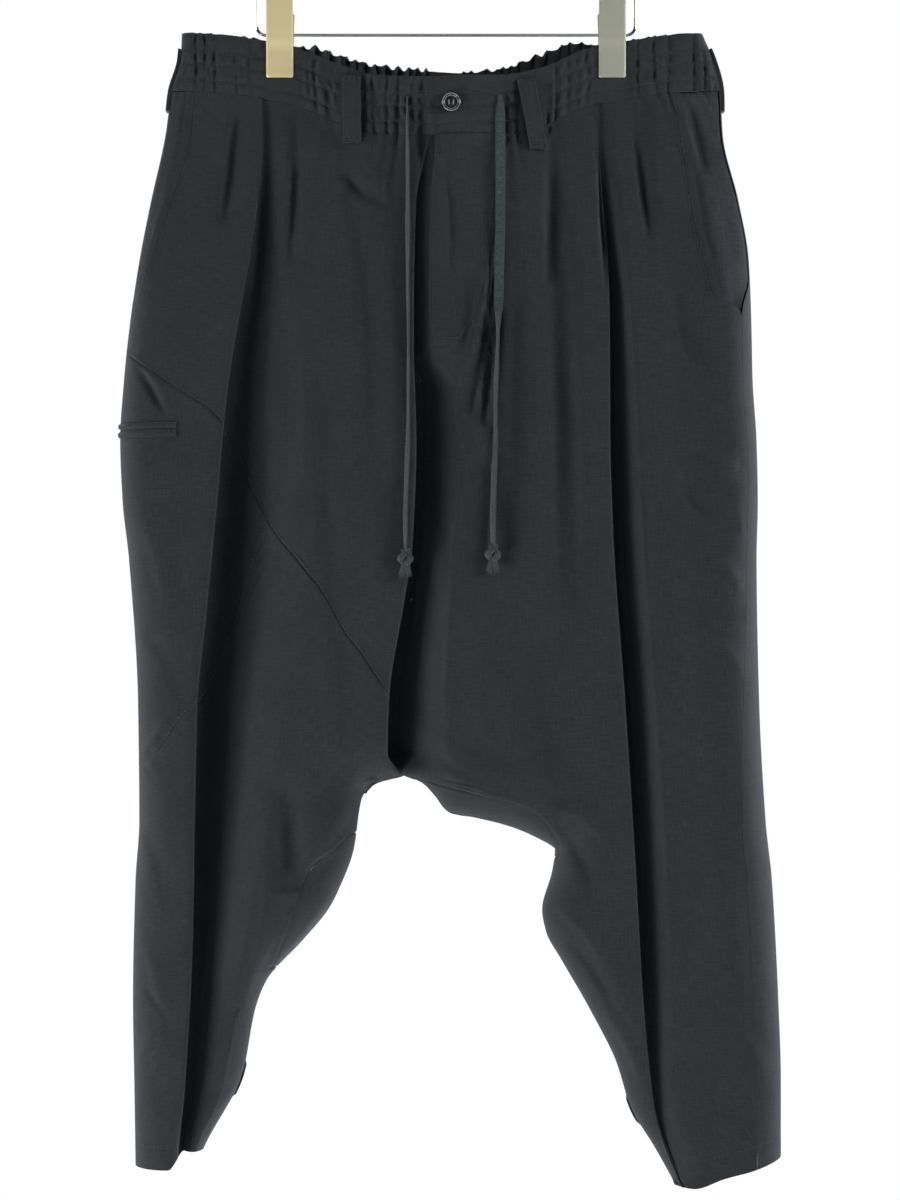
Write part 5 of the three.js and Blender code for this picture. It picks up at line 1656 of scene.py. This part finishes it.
    def sew_loop(self, node: str, grid: Array, mirrored: bool, lines: Sequence[Array]) -> None:
        """Makes a loop from its points.

        Args:
            node: Its node.
            grid: Its points.
            mirrored: True where the columns run anticlockwise from above.
            lines: Its rows of stitches.
        """
        cloth = shell(node + "_cloth", grid[:, ::-1] if mirrored else grid, self.loop_wall)
        finish_piece(cloth, BAND_CLOTH, node)
        STITCHES.sew(node + "_topstitch", lines)


@dataclass
class Pockets:
    """Slant pocket facings, the thigh pocket's welt and the fly placket."""

    facing_gap: float = 1.6
    welt_top: float = 305.0
    welt_bottom: float = 316.0
    welt_inner: float = -207.0
    welt_wall: float = 1.2
    fly_bottom: float = 226.0

    def build(self) -> None:
        """Makes every piece of the class."""
        self.facings()
        self.welt()
        self.fly()

    def facings(self) -> None:
        """Makes the cloth that shows inside the slant pockets' mouths."""
        t = np.linspace(0, 1, 20)
        under = CLOTH + self.facing_gap
        level = np.linspace(PANEL_TOP + 0.4, 222, 50)[:, None]
        outer = DRAPE.left(level)
        x = mix(outer, np.maximum(POCKET_LEFT_LINE(level) + 9, outer + 12), 1 - np.cos(math.pi / 2 * t[None]))
        hung_cloth("pocket_facing_left", DRAPE.points(Layer.FRONT, x, level), LINING, under * rise(0, 0.5, t))
        level = np.linspace(PANEL_TOP + 0.4, 230, 50)[:, None]
        outer = DRAPE.right(level) - INSET_LINE(level) - 5 * SEAM
        x = mix(POCKET_RIGHT_LINE(level) - 9, outer, np.sin(math.pi / 2 * t[None]))
        sunk = under * (1 - rise(0.45, 1, t))
        hung_cloth("pocket_facing_right", DRAPE.points(Layer.FRONT, x, level), LINING, sunk)

    def welt(self) -> None:
        """Makes the thigh pocket's two lips, the slot between them and the bar tack."""
        level = np.linspace(self.welt_top, self.welt_bottom, 27)[:, None]
        t = np.linspace(0, 1, 40)[None]
        x = mix(DRAPE.left(level) + 0.6, self.welt_inner, 1 - np.cos(math.pi / 2 * t))
        grid = DRAPE.points(Layer.FRONT, x, level)
        share = (level - self.welt_top) / (self.welt_bottom - self.welt_top)
        upper, lower = np.sin(math.pi * clamp(share / 0.4)), np.sin(math.pi * clamp((share - 0.52) / 0.48))
        lips = np.where(share < 0.4, upper, lower)
        slot = hill(share, 0.46, 0.07) * (1 - rise(0.9, 0.97, t))
        normal = inward(grid)
        lift = 0.55 + 1.35 * lips - 2.6 * slot - 0.5 * hill(t, 0.965, 0.014)
        raised = grid - normal * lift[..., None]
        finish_piece(shell("side_pocket_welt_cloth", raised, self.welt_wall), CHARCOAL, "side_pocket_welt")
        over = raised - normal * 0.3
        STITCHES.sew("side_pocket_topstitch", [over[1], over[-2], *(over[2:-2, j] for j in (35, 36))])

    def fly(self) -> None:
        """Makes the fly placket: a raised left edge, and a right side that lies into the front."""
        columns = right_columns()[:60]
        top, bottom = (np.full(len(columns), v) for v in (PANEL_TOP, self.fly_bottom))
        level = np.linspace(PANEL_TOP, self.fly_bottom, 70)
        under = gather(columns, top, bottom, (level - PANEL_TOP) / (self.fly_bottom - PANEL_TOP))
        across = np.linspace(0, 1, 30)
        grid = np.empty((len(level), len(across), 3))
        for i, v in enumerate(level):
            row = under[i, 4:]
            row = row[np.argmin(row[:, 0]):]
            x = mix(float(FLY_LEFT_LINE(v)), float(FLY_RIGHT_LINE(v)), across)
            grid[i] = np.stack([x, np.interp(x, row[:, 0], row[:, 1]), np.interp(x, row[:, 0], row[:, 2])], 1)
        proud = 1.45 - 1.0 * rise(0.1, 0.75, across)
        finish_piece(shell("fly_placket_cloth", grid, proud - 0.1, -proud), CHARCOAL, "fly_placket")
        over = grid - inward(grid) * (proud[None, :, None] + 0.2)
        curve = [*over[2:-3, -3], *over[-4, len(across) - 4:2:-1]]
        STITCHES.sew("fly_topstitch", [np.array(curve), over[1:-3, 2]])


Body = tuple[Array, list]


def tube(
    route: Array, radius: float | Array, sides: int = 12, flat: float = 1.0, twist: Array | None = None
) -> Body:
    """Closed tube along a route.

    Args:
        route: Its points.
        radius: Half width, one for all or one for each point.
        sides: Sides of its section.
        flat: Thickness over width.
        twist: Turn of the section at each point, or None.

    Returns:
        Points and faces.
    """
    route = np.asarray(route, float)
    count = len(route)
    radius = np.broadcast_to(np.asarray(radius, float), (count,))
    tangent = np.gradient(route, axis=0)
    tangent /= np.linalg.norm(tangent, axis=1, keepdims=True)
    start = np.array([1.0, 0, 0]) if abs(tangent[0][0]) < 0.8 else np.array([0, 0, 1.0])
    side = start - tangent[0] * (start @ tangent[0])
    angles = np.linspace(0, 2 * math.pi, sides, endpoint=False)
    c, s = np.cos(angles), np.sin(angles)
    if flat < 1:
        c, s = np.sign(c) * np.abs(c) ** 0.45, np.sign(s) * np.abs(s) ** 0.7
    points = []
    for i in range(count):
        side = side - tangent[i] * (side @ tangent[i])
        side /= np.linalg.norm(side)
        up = np.cross(tangent[i], side)
        turn = 0.0 if twist is None else float(twist[i])
        a, b = side * math.cos(turn) + up * math.sin(turn), up * math.cos(turn) - side * math.sin(turn)
        points.append(route[i] + radius[i] * (c[:, None] * a + flat * s[:, None] * b))
    ring = np.arange(sides)
    quad = np.stack([ring, np.roll(ring, -1), np.roll(ring, -1) + sides, ring + sides], 1)
    faces = [face for i in range(count - 1) for face in (quad + i * sides).tolist()]
    faces += [ring[::-1].tolist(), (ring + (count - 1) * sides).tolist()]
    return np.concatenate(points), faces


def lengths(route: Array) -> Array:
    """Distance along a route to each of its points."""
    return np.concatenate([[0], np.cumsum(np.linalg.norm(np.diff(route, axis=0), axis=1))])


def tube_uv(route: Array, sides: int, around: float) -> Array:
    """Place of each of a tube's points in its weave: round it and along it, in metres."""
    u = np.tile(np.linspace(0, around, sides), len(route))
    return np.stack([u, np.repeat(lengths(route), sides)], 1) * MM


def joined(parts: Sequence[Body]) -> Body:
    """Several bodies of points and faces as one."""
    points, faces, first = [], [], 0
    for p, f in parts:
        points.append(np.asarray(p))
        faces += [[first + i for i in face] for face in f]
        first += len(p)
    return np.concatenate(points), faces


def smooth_route(rows: Sequence[Sequence[float]], count: int) -> Array:
    """Fine points along given ones."""
    rows = np.asarray(rows, float)
    at = lengths(rows)
    wanted = np.linspace(0, at[-1], count)
    return np.stack([Line(at, rows[:, k])(wanted) for k in range(3)], 1)


def solid(name: str, body: Body, finish: Finish, *nodes: str, uv: Array | None = None) -> bpy.types.Object:
    """Makes and finishes a hard or knotted piece, with its faces turned outwards.

    Args:
        name: Its name.
        body: Its points and faces.
        finish: Its finish.
        nodes: Nodes that it stands for.
        uv: Place of each point in the weave, in metres.

    Returns:
        The piece.
    """
    made = make_mesh(name, *body, uv)
    work = bmesh.new()
    work.from_mesh(made.data)
    bmesh.ops.recalc_face_normals(work, faces=work.faces)
    work.to_mesh(made.data)
    work.free()
    made.data.shade_smooth()
    made.data.set_sharp_from_angle(angle=math.radians(40))
    return finish_piece(made, finish, *nodes)


@dataclass
class WaistButton:
    """Four-hole button with a raised rim and its thread."""

    x: float = 4.0
    level: float = 21.0
    radius: float = 7.4
    rim: float = 1.6
    thick: float = 3.2
    recess: float = 1.0
    hole: float = 0.9
    spacing: float = 1.7
    sink: float = 0.5
    sides: int = 64
    thread: float = 0.34
    thread_gap: float = 0.28
    # Inset, depth and thickness of each pale ring that paints a highlight on the rim and on the recess edge.
    rings: tuple[tuple[float, float, float], ...] = ((0.75, 0.0, 0.22), (2.3, 0.9, 0.18))

    def build(self) -> None:
        """Makes the button, the thread in its holes and pale rings on its rim that are a painted highlight.
        """
        _, seat, drop = DRAPE.points(Layer.FRONT, np.array([self.x]), np.array([self.level]))[0].tolist()
        seat -= self.sink
        self.face(seat, drop)
        share = np.linspace(0, 1, 12)
        over = 0.25 + 0.5 * np.sin(math.pi * share) - 1.2 * (np.abs(share - 0.5) > 0.47)
        height = seat - (self.thick - self.recess + over)
        loops = []
        for x in (-self.spacing, self.spacing):
            for shift in (-self.thread_gap, self.thread_gap):
                place = np.full(12, self.x + x + shift)
                line = np.stack([place, height, drop + mix(-1, 1, share) * self.spacing], 1)
                loops.append(tube(line, self.thread, 8))
        solid("waist_button_thread", joined(loops), PALE_THREAD)
        # Pale rings at the rim's crest and at the recess edge: painted highlights.
        around = np.linspace(0, 2 * math.pi, 73)
        rings = []
        for inset, below, thick in self.rings:
            radius = self.radius - inset
            x, z = self.x + radius * np.cos(around), drop + radius * np.sin(around)
            rings.append(tube(np.stack([x, 0 * around + seat - (self.thick - below), z], 1), thick, 8))
        solid("waist_button_painted_highlight", joined(rings), RIM_HIGHLIGHT_PAINT)

    def face(self, seat: float, drop: float) -> None:
        """Makes the button's body and cuts its holes.

        Args:
            seat: The y of its back.
            drop: The z of its middle.
        """
        made = make_mesh("waist_button_face", *self.turned())
        drills = [self.drill(x, y) for x in (-1, 1) for y in (-1, 1)]
        cutter = make_mesh("button_holes", *joined(drills))
        cut = made.modifiers.new("holes", "BOOLEAN")
        cut.object, cut.solver = cutter, "EXACT"
        graph = bpy.context.evaluated_depsgraph_get()
        mesh = bpy.data.meshes.new_from_object(made.evaluated_get(graph), depsgraph=graph)
        made.modifiers.remove(cut)
        made.data = mesh
        bpy.data.objects.remove(cutter, do_unlink=True)
        turn = Matrix(((1, 0, 0, self.x * MM), (0, 0, -1, seat * MM), (0, 1, 0, drop * MM), (0, 0, 0, 1)))
        mesh.transform(turn)
        mesh.shade_smooth()
        mesh.set_sharp_from_angle(angle=math.radians(35))
        finish_piece(made, HORN, "waist_button")

    def section(self) -> list[tuple[float, float]]:
        """Radius and height along half of the button's section, from the middle of its back to its face."""
        inner = self.radius - self.rim
        face = self.thick - self.recess
        edge, top = self.radius - 0.8, self.thick - 0.8
        back = self.radius - 0.6
        rows = [(0.0, 0.0), (self.radius - 1.2, 0.0)]
        rows += [(back + 0.6 * math.sin(a), 0.9 - 0.9 * math.cos(a)) for a in np.linspace(0.3, 1.5, 5)]
        rows += [(self.radius, self.thick - 0.9)]
        rows += [(edge + 0.8 * math.cos(a), top + 0.8 * math.sin(a)) for a in np.linspace(0.2, 1.9, 8)]
        rows += [(inner + 0.25 - 0.5 * s, mix(self.thick - 0.15, face, s)) for s in (0.0, 0.35, 0.7)]
        return rows + [(inner - 0.6, face), (inner - 2, face - 0.08), (0.0, face - 0.12)]

    def turned(self) -> Body:
        """Turned body of the button, with its axis along Z and its face up.

        Returns:
            Points and faces.
        """
        points, rings = [], []
        for r, z in self.section():
            if r == 0:
                rings.append([len(points)] * self.sides)
                points.append((0, 0, z))
            else:
                rings.append([len(points) + k for k in range(self.sides)])
                turns = [2 * math.pi * k / self.sides for k in range(self.sides)]
                points += [(r * math.cos(a), r * math.sin(a), z) for a in turns]
        faces = []
        for low, high in zip(rings, rings[1:]):
            for k in range(self.sides):
                m = (k + 1) % self.sides
                corner = list(dict.fromkeys([low[k], low[m], high[m], high[k]]))
                if len(corner) > 2:
                    faces.append(corner)
        return np.array(points, float), faces

    def drill(self, side_x: int, side_y: int) -> Body:
        """Round bar that cuts one hole."""
        x, y = side_x * self.spacing, side_y * self.spacing
        return tube(np.array([[x, y, -1.0], [x, y, 1.0], [x, y, 4.0]]), self.hole, 16)


@dataclass
class Drawstrings:
    """Two flat drawstring ends with a knot and frayed tails on each.

    Each route's rows are x, y and the drop below the side waist. A turn edge-on is in radians, for
    the upper and the lower half.
    """

    left: tuple[tuple[float, float, float], ...] = (
        (-30, -23.9, 53), (-30, -24.1, 62), (-30, -24.1, 75), (-29.5, -23.8, 100), (-29.5, -23.7, 140),
        (-29.5, -26, 190), (-29, -30.8, 240), (-29, -35.2, 290), (-30, -38.8, 340), (-31, -42.4, 380),
        (-31, -45.4, 404),
    )
    right: tuple[tuple[float, float, float], ...] = (
        (42, -21.2, 51), (42, -21.5, 60), (42, -21.9, 75), (42, -22.5, 100), (42, -22.4, 140), (41, -24, 190),
        (40, -28.8, 240), (38, -33.8, 290), (37, -37.9, 340), (36, -41.8, 380), (36, -45, 401),
    )
    left_turn: tuple[float, float] = (1.26, 1.2)
    right_turn: tuple[float, float] = (0.0, 1.1)
    width: float = 7.5
    thick: float = 1.3
    sides: int = 14
    knot: float = 5.6
    tails: tuple[float, float] = (9.0, 8.0)
    strands: int = 9

    def build(self) -> None:
        """Makes both ends."""
        self.end("left", self.left, self.left_turn)
        self.end("right", self.right, self.right_turn)

    def end(self, side: str, rows: Sequence[Sequence[float]], turn: tuple[float, float]) -> None:
        """Makes one end of the drawstring.

        Args:
            side: Left or right in the photo.
            rows: Its route.
            turn: How far it is turned edge-on.
        """
        route = smooth_route([(x, y, WAIST_Z - drop) for x, y, drop in rows], 150)
        drop = WAIST_Z - route[:, 2]
        twist = mix(*turn, rise(196, 236, drop)) + 0.14 * np.sin(drop / 31.0) + 0.06 * np.sin(drop / 9.0)
        half = self.width / 2 * mix(0.42, 1.0, rise(float(drop[0]), float(drop[0]) + 16, drop))
        body = tube(route, half, self.sides, self.thick / self.width, twist)
        uv = tube_uv(route, self.sides, 2 * self.width)
        tape = solid(f"drawstring_{side}_tape", body, TAPE, f"drawstring_{side}", uv=uv)
        knot = self.tied(side, route[-1])
        path = [tuple(float(v) * MM for v in p) for p in (*route[::3], route[-1])]
        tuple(path[0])

    def tied(self, side: str, at: Array) -> bpy.types.Object:
        """Makes an overhand knot with two frayed tails.

        Args:
            side: Left or right in the photo.
            at: Lower end of the tape.

        Returns:
            The knot.
        """
        centre = at + np.array([0, 0, -self.knot - 0.3])
        t = np.linspace(0, 2 * math.pi, 70)
        body = []
        for turn, size in ((0.0, 1.0), (1.15, 0.94)):
            around = np.stack([
                (0.62 + 0.16 * np.cos(2 * t)) * self.knot * np.cos(t + turn) * size,
                0.45 * self.knot * np.sin(2 * t + turn) * size * 0.75,
                0.56 * self.knot * np.sin(t + turn) * size,
            ], 1)
            body.append(tube(centre + around, 2.0 * size, 12, 0.72, 0.8 * np.sin(t)))
        core = smooth_route([at + np.array([0, 0, 1.5]), at + np.array([0.4, 0.2, -2]), centre], 12)
        body.append(tube(core, np.linspace(3.6, 2.4, 12), 12, 0.5))
        for sign, length in zip((-1, 1), self.tails):
            end = centre + np.array([sign * (1.5 + 0.16 * length), -0.4, -self.knot * 0.7 - length])
            tail = smooth_route([centre, centre + np.array([sign * 1.2, -0.5, -self.knot * 0.75]), end], 16)
            body.append(tube(tail, np.linspace(1.7, 2.1, 16), 10, 0.5))
            body += [self.strand(end, s) for s in range(self.strands)]
        points, faces = joined(body)
        uv = np.stack([points[:, 0] + points[:, 1], points[:, 2]], 1) * MM
        return solid(f"knot_{side}_tied", (points, faces), TAPE, f"knot_{side}", uv=uv)

    def strand(self, end: Array, number: int) -> Body:
        """One loose strand of a frayed tail."""
        lean = (number - 4) / 4
        drop = 1.2 + 0.8 * abs(math.cos(2.3 * number))
        tip = end + np.array([lean * 2.4, 0.5 * math.sin(3.1 * number), -drop])
        return tube(smooth_route([end + np.array([lean * 1.5, 0, 1.0]), mix(end, tip, 0.6), tip], 5), 0.2, 5)


@dataclass
class WireHanger:
    """Chrome wire frame with a swivel hook and two sprung clips."""

    bar: float = -151.0
    top: float = -84.0
    half: float = 147.5
    corner: float = 7.0
    wire: float = 1.2
    hook_wire: float = 1.9
    sleeve: float = 4.0
    sleeve_length: float = 22.0
    hook_reach: float = 21.9
    hook_middle: float = -20.0
    hook_ends: tuple[float, float] = (-0.3, 1.05)
    clip_x: float = 129.5
    plate: float = 21.0
    plate_corner: float = 1.1
    wall: float = 1.2
    heights: tuple[float, ...] = (-33.5, -14.0, 0.0, 41.0)
    front: tuple[float, ...] = (3.0, 3.0, 5.4, 7.4)
    rear: tuple[float, ...] = (3.0, 3.0, 6.5, 17.0)
    rear_top: float = 20.0
    coil: float = 4.35
    coil_turns: int = 9
    coil_length: float = 13.2

    def build(self) -> None:
        """Makes the frame, the hook, its sleeve and both clips."""
        self.frame()
        self.hook()
        self.collar()
        # Left clip: the beige colour of its plates is a painted reflection.
        self.clip(-1, "left", SATIN_PAINTED_REFLECTION)
        self.clip(1, "right", GRAINED)

    @staticmethod
    def rounded_loop(corners: Sequence[tuple[float, float, float]], steps: int = 12) -> Array:
        """Closed route with a rounded turn at each corner.

        Args:
            corners: x, z and turn radius of each.
            steps: Points in a turn.

        Returns:
            Points, with the first one repeated at the end.
        """
        route = []
        for i, (x, z, radius) in enumerate(corners):
            here = np.array([x, z])
            before = np.array(corners[i - 1][:2]) - here
            after = np.array(corners[(i + 1) % len(corners)][:2]) - here
            before, after = before / np.linalg.norm(before), after / np.linalg.norm(after)
            angle = math.acos(max(-1.0, min(1.0, float(before @ after))))
            reach = radius / math.tan(angle / 2)
            middle = (before + after) / np.linalg.norm(before + after) * radius / math.sin(angle / 2) + here
            a, b = here + before * reach - middle, here + after * reach - middle
            for t in np.linspace(0, 1, steps):
                arm = mix(a, b, t)
                route.append(middle + arm / np.linalg.norm(arm) * radius)
        route.append(route[0])
        return np.array([(p[0], 0.0, p[1]) for p in route])

    def frame(self) -> None:
        """Makes the wire frame."""
        right = [
            (self.half, self.bar, self.corner),
            (self.half, self.top - 12, self.corner),
            (40, self.top - 3, 30.0),
            (4.6, self.top, 5.0),
        ]
        left = [(-x, z, radius) for x, z, radius in right[::-1]]
        body = tube(self.rounded_loop(left + right), self.wire, 14)
        solid("hanger_frame_wire", body, CHROME, "hanger_frame")

    def hook_at(self, angle: float) -> tuple[float, float, float]:
        """Point of the hook's round part."""
        return self.hook_reach * math.cos(angle), 0.0, self.hook_middle + self.hook_reach * math.sin(angle)

    def hook(self) -> None:
        """Makes the hook, with a ball end."""
        start, end = (share * math.pi for share in self.hook_ends)
        arc = [self.hook_at(angle) for angle in np.linspace(start, end, 60)]
        stem = smooth_route([(0, 0, -72.7), (0, 0, -64.7), (0, 0, -54), (2, 0, -45), arc[0]], 40)
        ball = np.array([self.hook_at(end + further) for further in (0.0, 0.05, 0.1, 0.14)])
        tip = tube(ball, [self.hook_wire, self.hook_wire * 1.25, self.hook_wire * 1.15, 0.5], 18)
        body = joined([tube(np.concatenate([stem[:-1], arc]), self.hook_wire, 18), tip])
        solid("hanger_hook_wire", body, CHROME, "hanger_hook")

    def collar(self) -> None:
        """Makes the sleeve that the hook turns in, with two grooves round it."""
        low, high = self.top - self.sleeve_length / 2, self.top + self.sleeve_length / 2
        marks = [(low, 0.6), (low + 0.1, 0.86), (low + 0.8, 1.0)]
        marks += [(low + 6, 1.0), (low + 6.3, 0.9), (low + 6.9, 0.9), (low + 7.2, 1.0)]
        marks += [(high - 4, 1.0), (high - 3.7, 0.9), (high - 3.1, 0.9), (high - 2.8, 1.0)]
        marks += [(high - 0.8, 1.0), (high - 0.1, 0.86), (high, 0.6)]
        route = np.array([(0, 0, z) for z, _ in marks])
        body = tube(route, [self.sleeve * share for _, share in marks], 32)
        solid("hanger_sleeve_tube", body, CHROME, "hanger_sleeve")

    def plate_sheet(self, at: float, out: Sequence[float], heights: Sequence[float], sign: int) -> Body:
        """Bent plate of a clip, with rounded corners and rolled edges.

        Args:
            at: Place of its middle.
            out: Distance from the bar at each height.
            heights: Heights over the bar.
            sign: Minus in front, plus behind.

        Returns:
            Points and faces.
        """
        bend = Line(np.array(heights), np.array(out))
        bottom, top = heights[0], heights[-1]
        z = np.unique(np.concatenate([np.linspace(bottom, top, 60), [bottom + 0.3, top - 0.3]]))
        across = np.concatenate([[-1, -0.985, -0.94], np.linspace(-0.88, 0.88, 13), [0.94, 0.985, 1]])
        roll = 0.45 * np.maximum(0, np.abs(across) - 0.88) / 0.12
        rows = []
        for level in z:
            edge = min(level - bottom, top - level)
            half = self.plate / 2
            if edge < self.plate_corner:
                inside = max(0.0, self.plate_corner**2 - (self.plate_corner - edge) ** 2)
                half -= self.plate_corner - math.sqrt(inside)
            lip = 0.4 * rise(1.6, 0, edge)
            dish = 0.5 * hill(edge, 0, 4.0) - 0.5 * hill(level, 0, 3.0)
            y = float(bend(level)) - roll - lip + dish * 0.5
            rows.append(np.stack([at + across * half, y, np.full(across.shape, level + self.bar)], 1))
        outer = np.array(rows)
        inner = outer.copy()
        outer[..., 1] += self.wall
        outer[..., 1] *= sign
        inner[..., 1] *= sign
        number, faces = sheet_faces(*outer.shape[:2])
        rim = np.concatenate([number[0, :-1], number[:-1, -1], number[-1, :0:-1], number[:0:-1, 0]])
        following = np.roll(rim, -1)
        sides = np.stack([rim, following, following + number.size, rim + number.size], -1)
        points = np.concatenate([outer.reshape(-1, 3), inner.reshape(-1, 3)])
        return points, np.concatenate([faces, sides]).tolist()

    def clip(self, side: int, name: str, finish: HardFinish) -> None:
        """Makes a clip: its front and rear plates and its spring.

        Args:
            side: Minus on the photo's left, plus on its right.
            name: That side's name.
            finish: Finish of the plates.
        """
        at = side * self.clip_x
        rear_heights = (*self.heights[:3], self.rear_top)
        plates = (("front", self.front, self.heights, -1), ("rear", self.rear, rear_heights, 1))
        for part, out, heights, sign in plates:
            node = f"clip_{name}_{part}"
            solid(node + "_plate", self.plate_sheet(at, out, heights, sign), finish, node)
        t = np.linspace(0, 1, self.coil_turns * 22)
        turn = 2 * math.pi * self.coil_turns * t
        x = at + (t - 0.5) * self.coil_length
        ring = np.stack([x, self.coil * np.cos(turn), self.bar + self.coil * np.sin(turn)], 1)
        legs = []
        for foot, lean in ((ring[0], -1), (ring[-1], 1)):
            rows = [foot, foot + np.array([0, lean * 0.3, 5]), foot + np.array([0, lean * 0.2, 10])]
            legs.append(tube(smooth_route(rows, 10), 0.5, 8))
        solid(f"clip_{name}_spring_coil", joined([tube(ring, 0.6, 8), *legs]), CHROME, f"clip_{name}_spring")


@dataclass
class Studio:
    """White surroundings, lights and camera."""

    centre: tuple[float, float, float] = (0.0031, 0.0, -0.5915)
    height: float = 0.936
    lens: float = 85.0
    sensor: float = 36.0
    floor: float = -1.75
    floor_half: float = 3.0
    dim: float = 0.032
    pale: float = 0.6
    light_size: float = 0.8

    def build(self) -> None:
        """Makes the whole studio."""
        self.surroundings()
        self.ground()
        self.light("key_right", (2.2, -0.85, 0.2), 54.0, (0.93, 0.97, 1.0))
        self.light("fill_left", (-2.1, -0.75, -0.1), 23.0, (1.0, 0.97, 0.92))
        self.light("top", (0.2, -1.3, 1.3), 2.2, (0.96, 0.98, 1.0))
        self.light("back_right", (2.4, 0.85, 0.2), 52.0, (0.95, 0.97, 1.0))
        self.light("back_left", (-2.2, 1.3, 0.1), 13.0, (1.0, 0.97, 0.93))
        self.light("low", (-1.3, -0.9, -1.6), 30.0, (0.95, 0.97, 1.0))
        self.camera()

    def surroundings(self) -> None:
        """Makes the world: plain white to look at, but giving light that is pale behind and dim in front."""
        scene = bpy.context.scene
        world = bpy.data.worlds.new("white")
        world.use_nodes = True
        tree = world.node_tree
        place = add_node(tree, "ShaderNodeTexCoord").outputs["Generated"]
        depth = add_node(tree, "ShaderNodeSeparateXYZ", {"Vector": place}).outputs["Y"]
        behind = math_node(tree, "MULTIPLY_ADD", depth, 0.5, 0.5)
        tones = ((0.5, (self.dim, self.dim, self.dim * 1.03)), (0.93, (self.pale, self.pale, self.pale)))
        back = tree.nodes["Background"]
        feed(tree, back, {"Color": two_tone(tree, behind, *tones, "EASE")})
        plain = add_node(tree, "ShaderNodeBackground", {"Color": (1, 1, 1, 1)})
        seen = add_node(tree, "ShaderNodeLightPath").outputs["Is Camera Ray"]
        parts = {"Fac": seen, 1: back.outputs["Background"], 2: plain.outputs["Background"]}
        choice = add_node(tree, "ShaderNodeMixShader", parts)
        feed(tree, tree.nodes["World Output"], {"Surface": choice.outputs["Shader"]})
        scene.world = world
        scene.view_settings.view_transform = "Standard"

    def ground(self) -> None:
        """Makes the pale floor under the view."""
        half = self.floor_half
        square = ((-half, -half), (half, -half), (half, half), (-half, half))
        corners = [(x, y, self.floor) for x, y in square]
        mesh = bpy.data.meshes.new("floor")
        mesh.from_pydata(corners, [], [(0, 1, 2, 3)])
        floor = placed("floor", mesh)
        paint = bpy.data.materials.new("floor_paint")
        paint.use_nodes = True
        shader = paint.node_tree.nodes["Principled BSDF"]
        feed(paint.node_tree, shader, {"Base Color": (0.9, 0.9, 0.9, 1), "Roughness": 0.8})
        mesh.materials.append(paint)

    def light(self, name: str, at: tuple[float, float, float], power: float, tint: Colour) -> None:
        """Adds a soft light that looks at the garment.

        Args:
            name: Name of the light.
            at: Where it stands, in metres.
            power: Watts.
            tint: Its colour.
        """
        lamp = bpy.data.lights.new(name, "AREA")
        lamp.shape = "SQUARE"
        lamp.size = self.light_size
        lamp.energy = power
        lamp.color = tint
        made = placed(name, lamp)
        made.location = at
        made.rotation_euler = (Vector(self.centre) - Vector(at)).to_track_quat("-Z", "Y").to_euler()

    def camera(self) -> None:
        """Adds the camera, level with the middle of the picture."""
        eye = bpy.data.cameras.new("camera")
        eye.lens, eye.sensor_width = self.lens, self.sensor
        eye.clip_end = 50
        eye.dof.use_dof = False
        made = placed("camera", eye)
        distance = self.height * self.lens / self.sensor
        made.location = (self.centre[0], -distance, self.centre[2])
        made.rotation_euler = (math.pi / 2, 0, 0)
        bpy.context.scene.camera = made


def main() -> None:
    """Builds every sub-assembly and the studio."""
    logging.basicConfig(level=logging.INFO, format="%(message)s")
    for part in (Waistband(), Panels(), Pockets(), WaistButton(), Drawstrings(), WireHanger()):
        part.build()
        LOG.info("%s built", type(part).__name__)
    Studio().build()


if __name__ == "__main__":
    main()
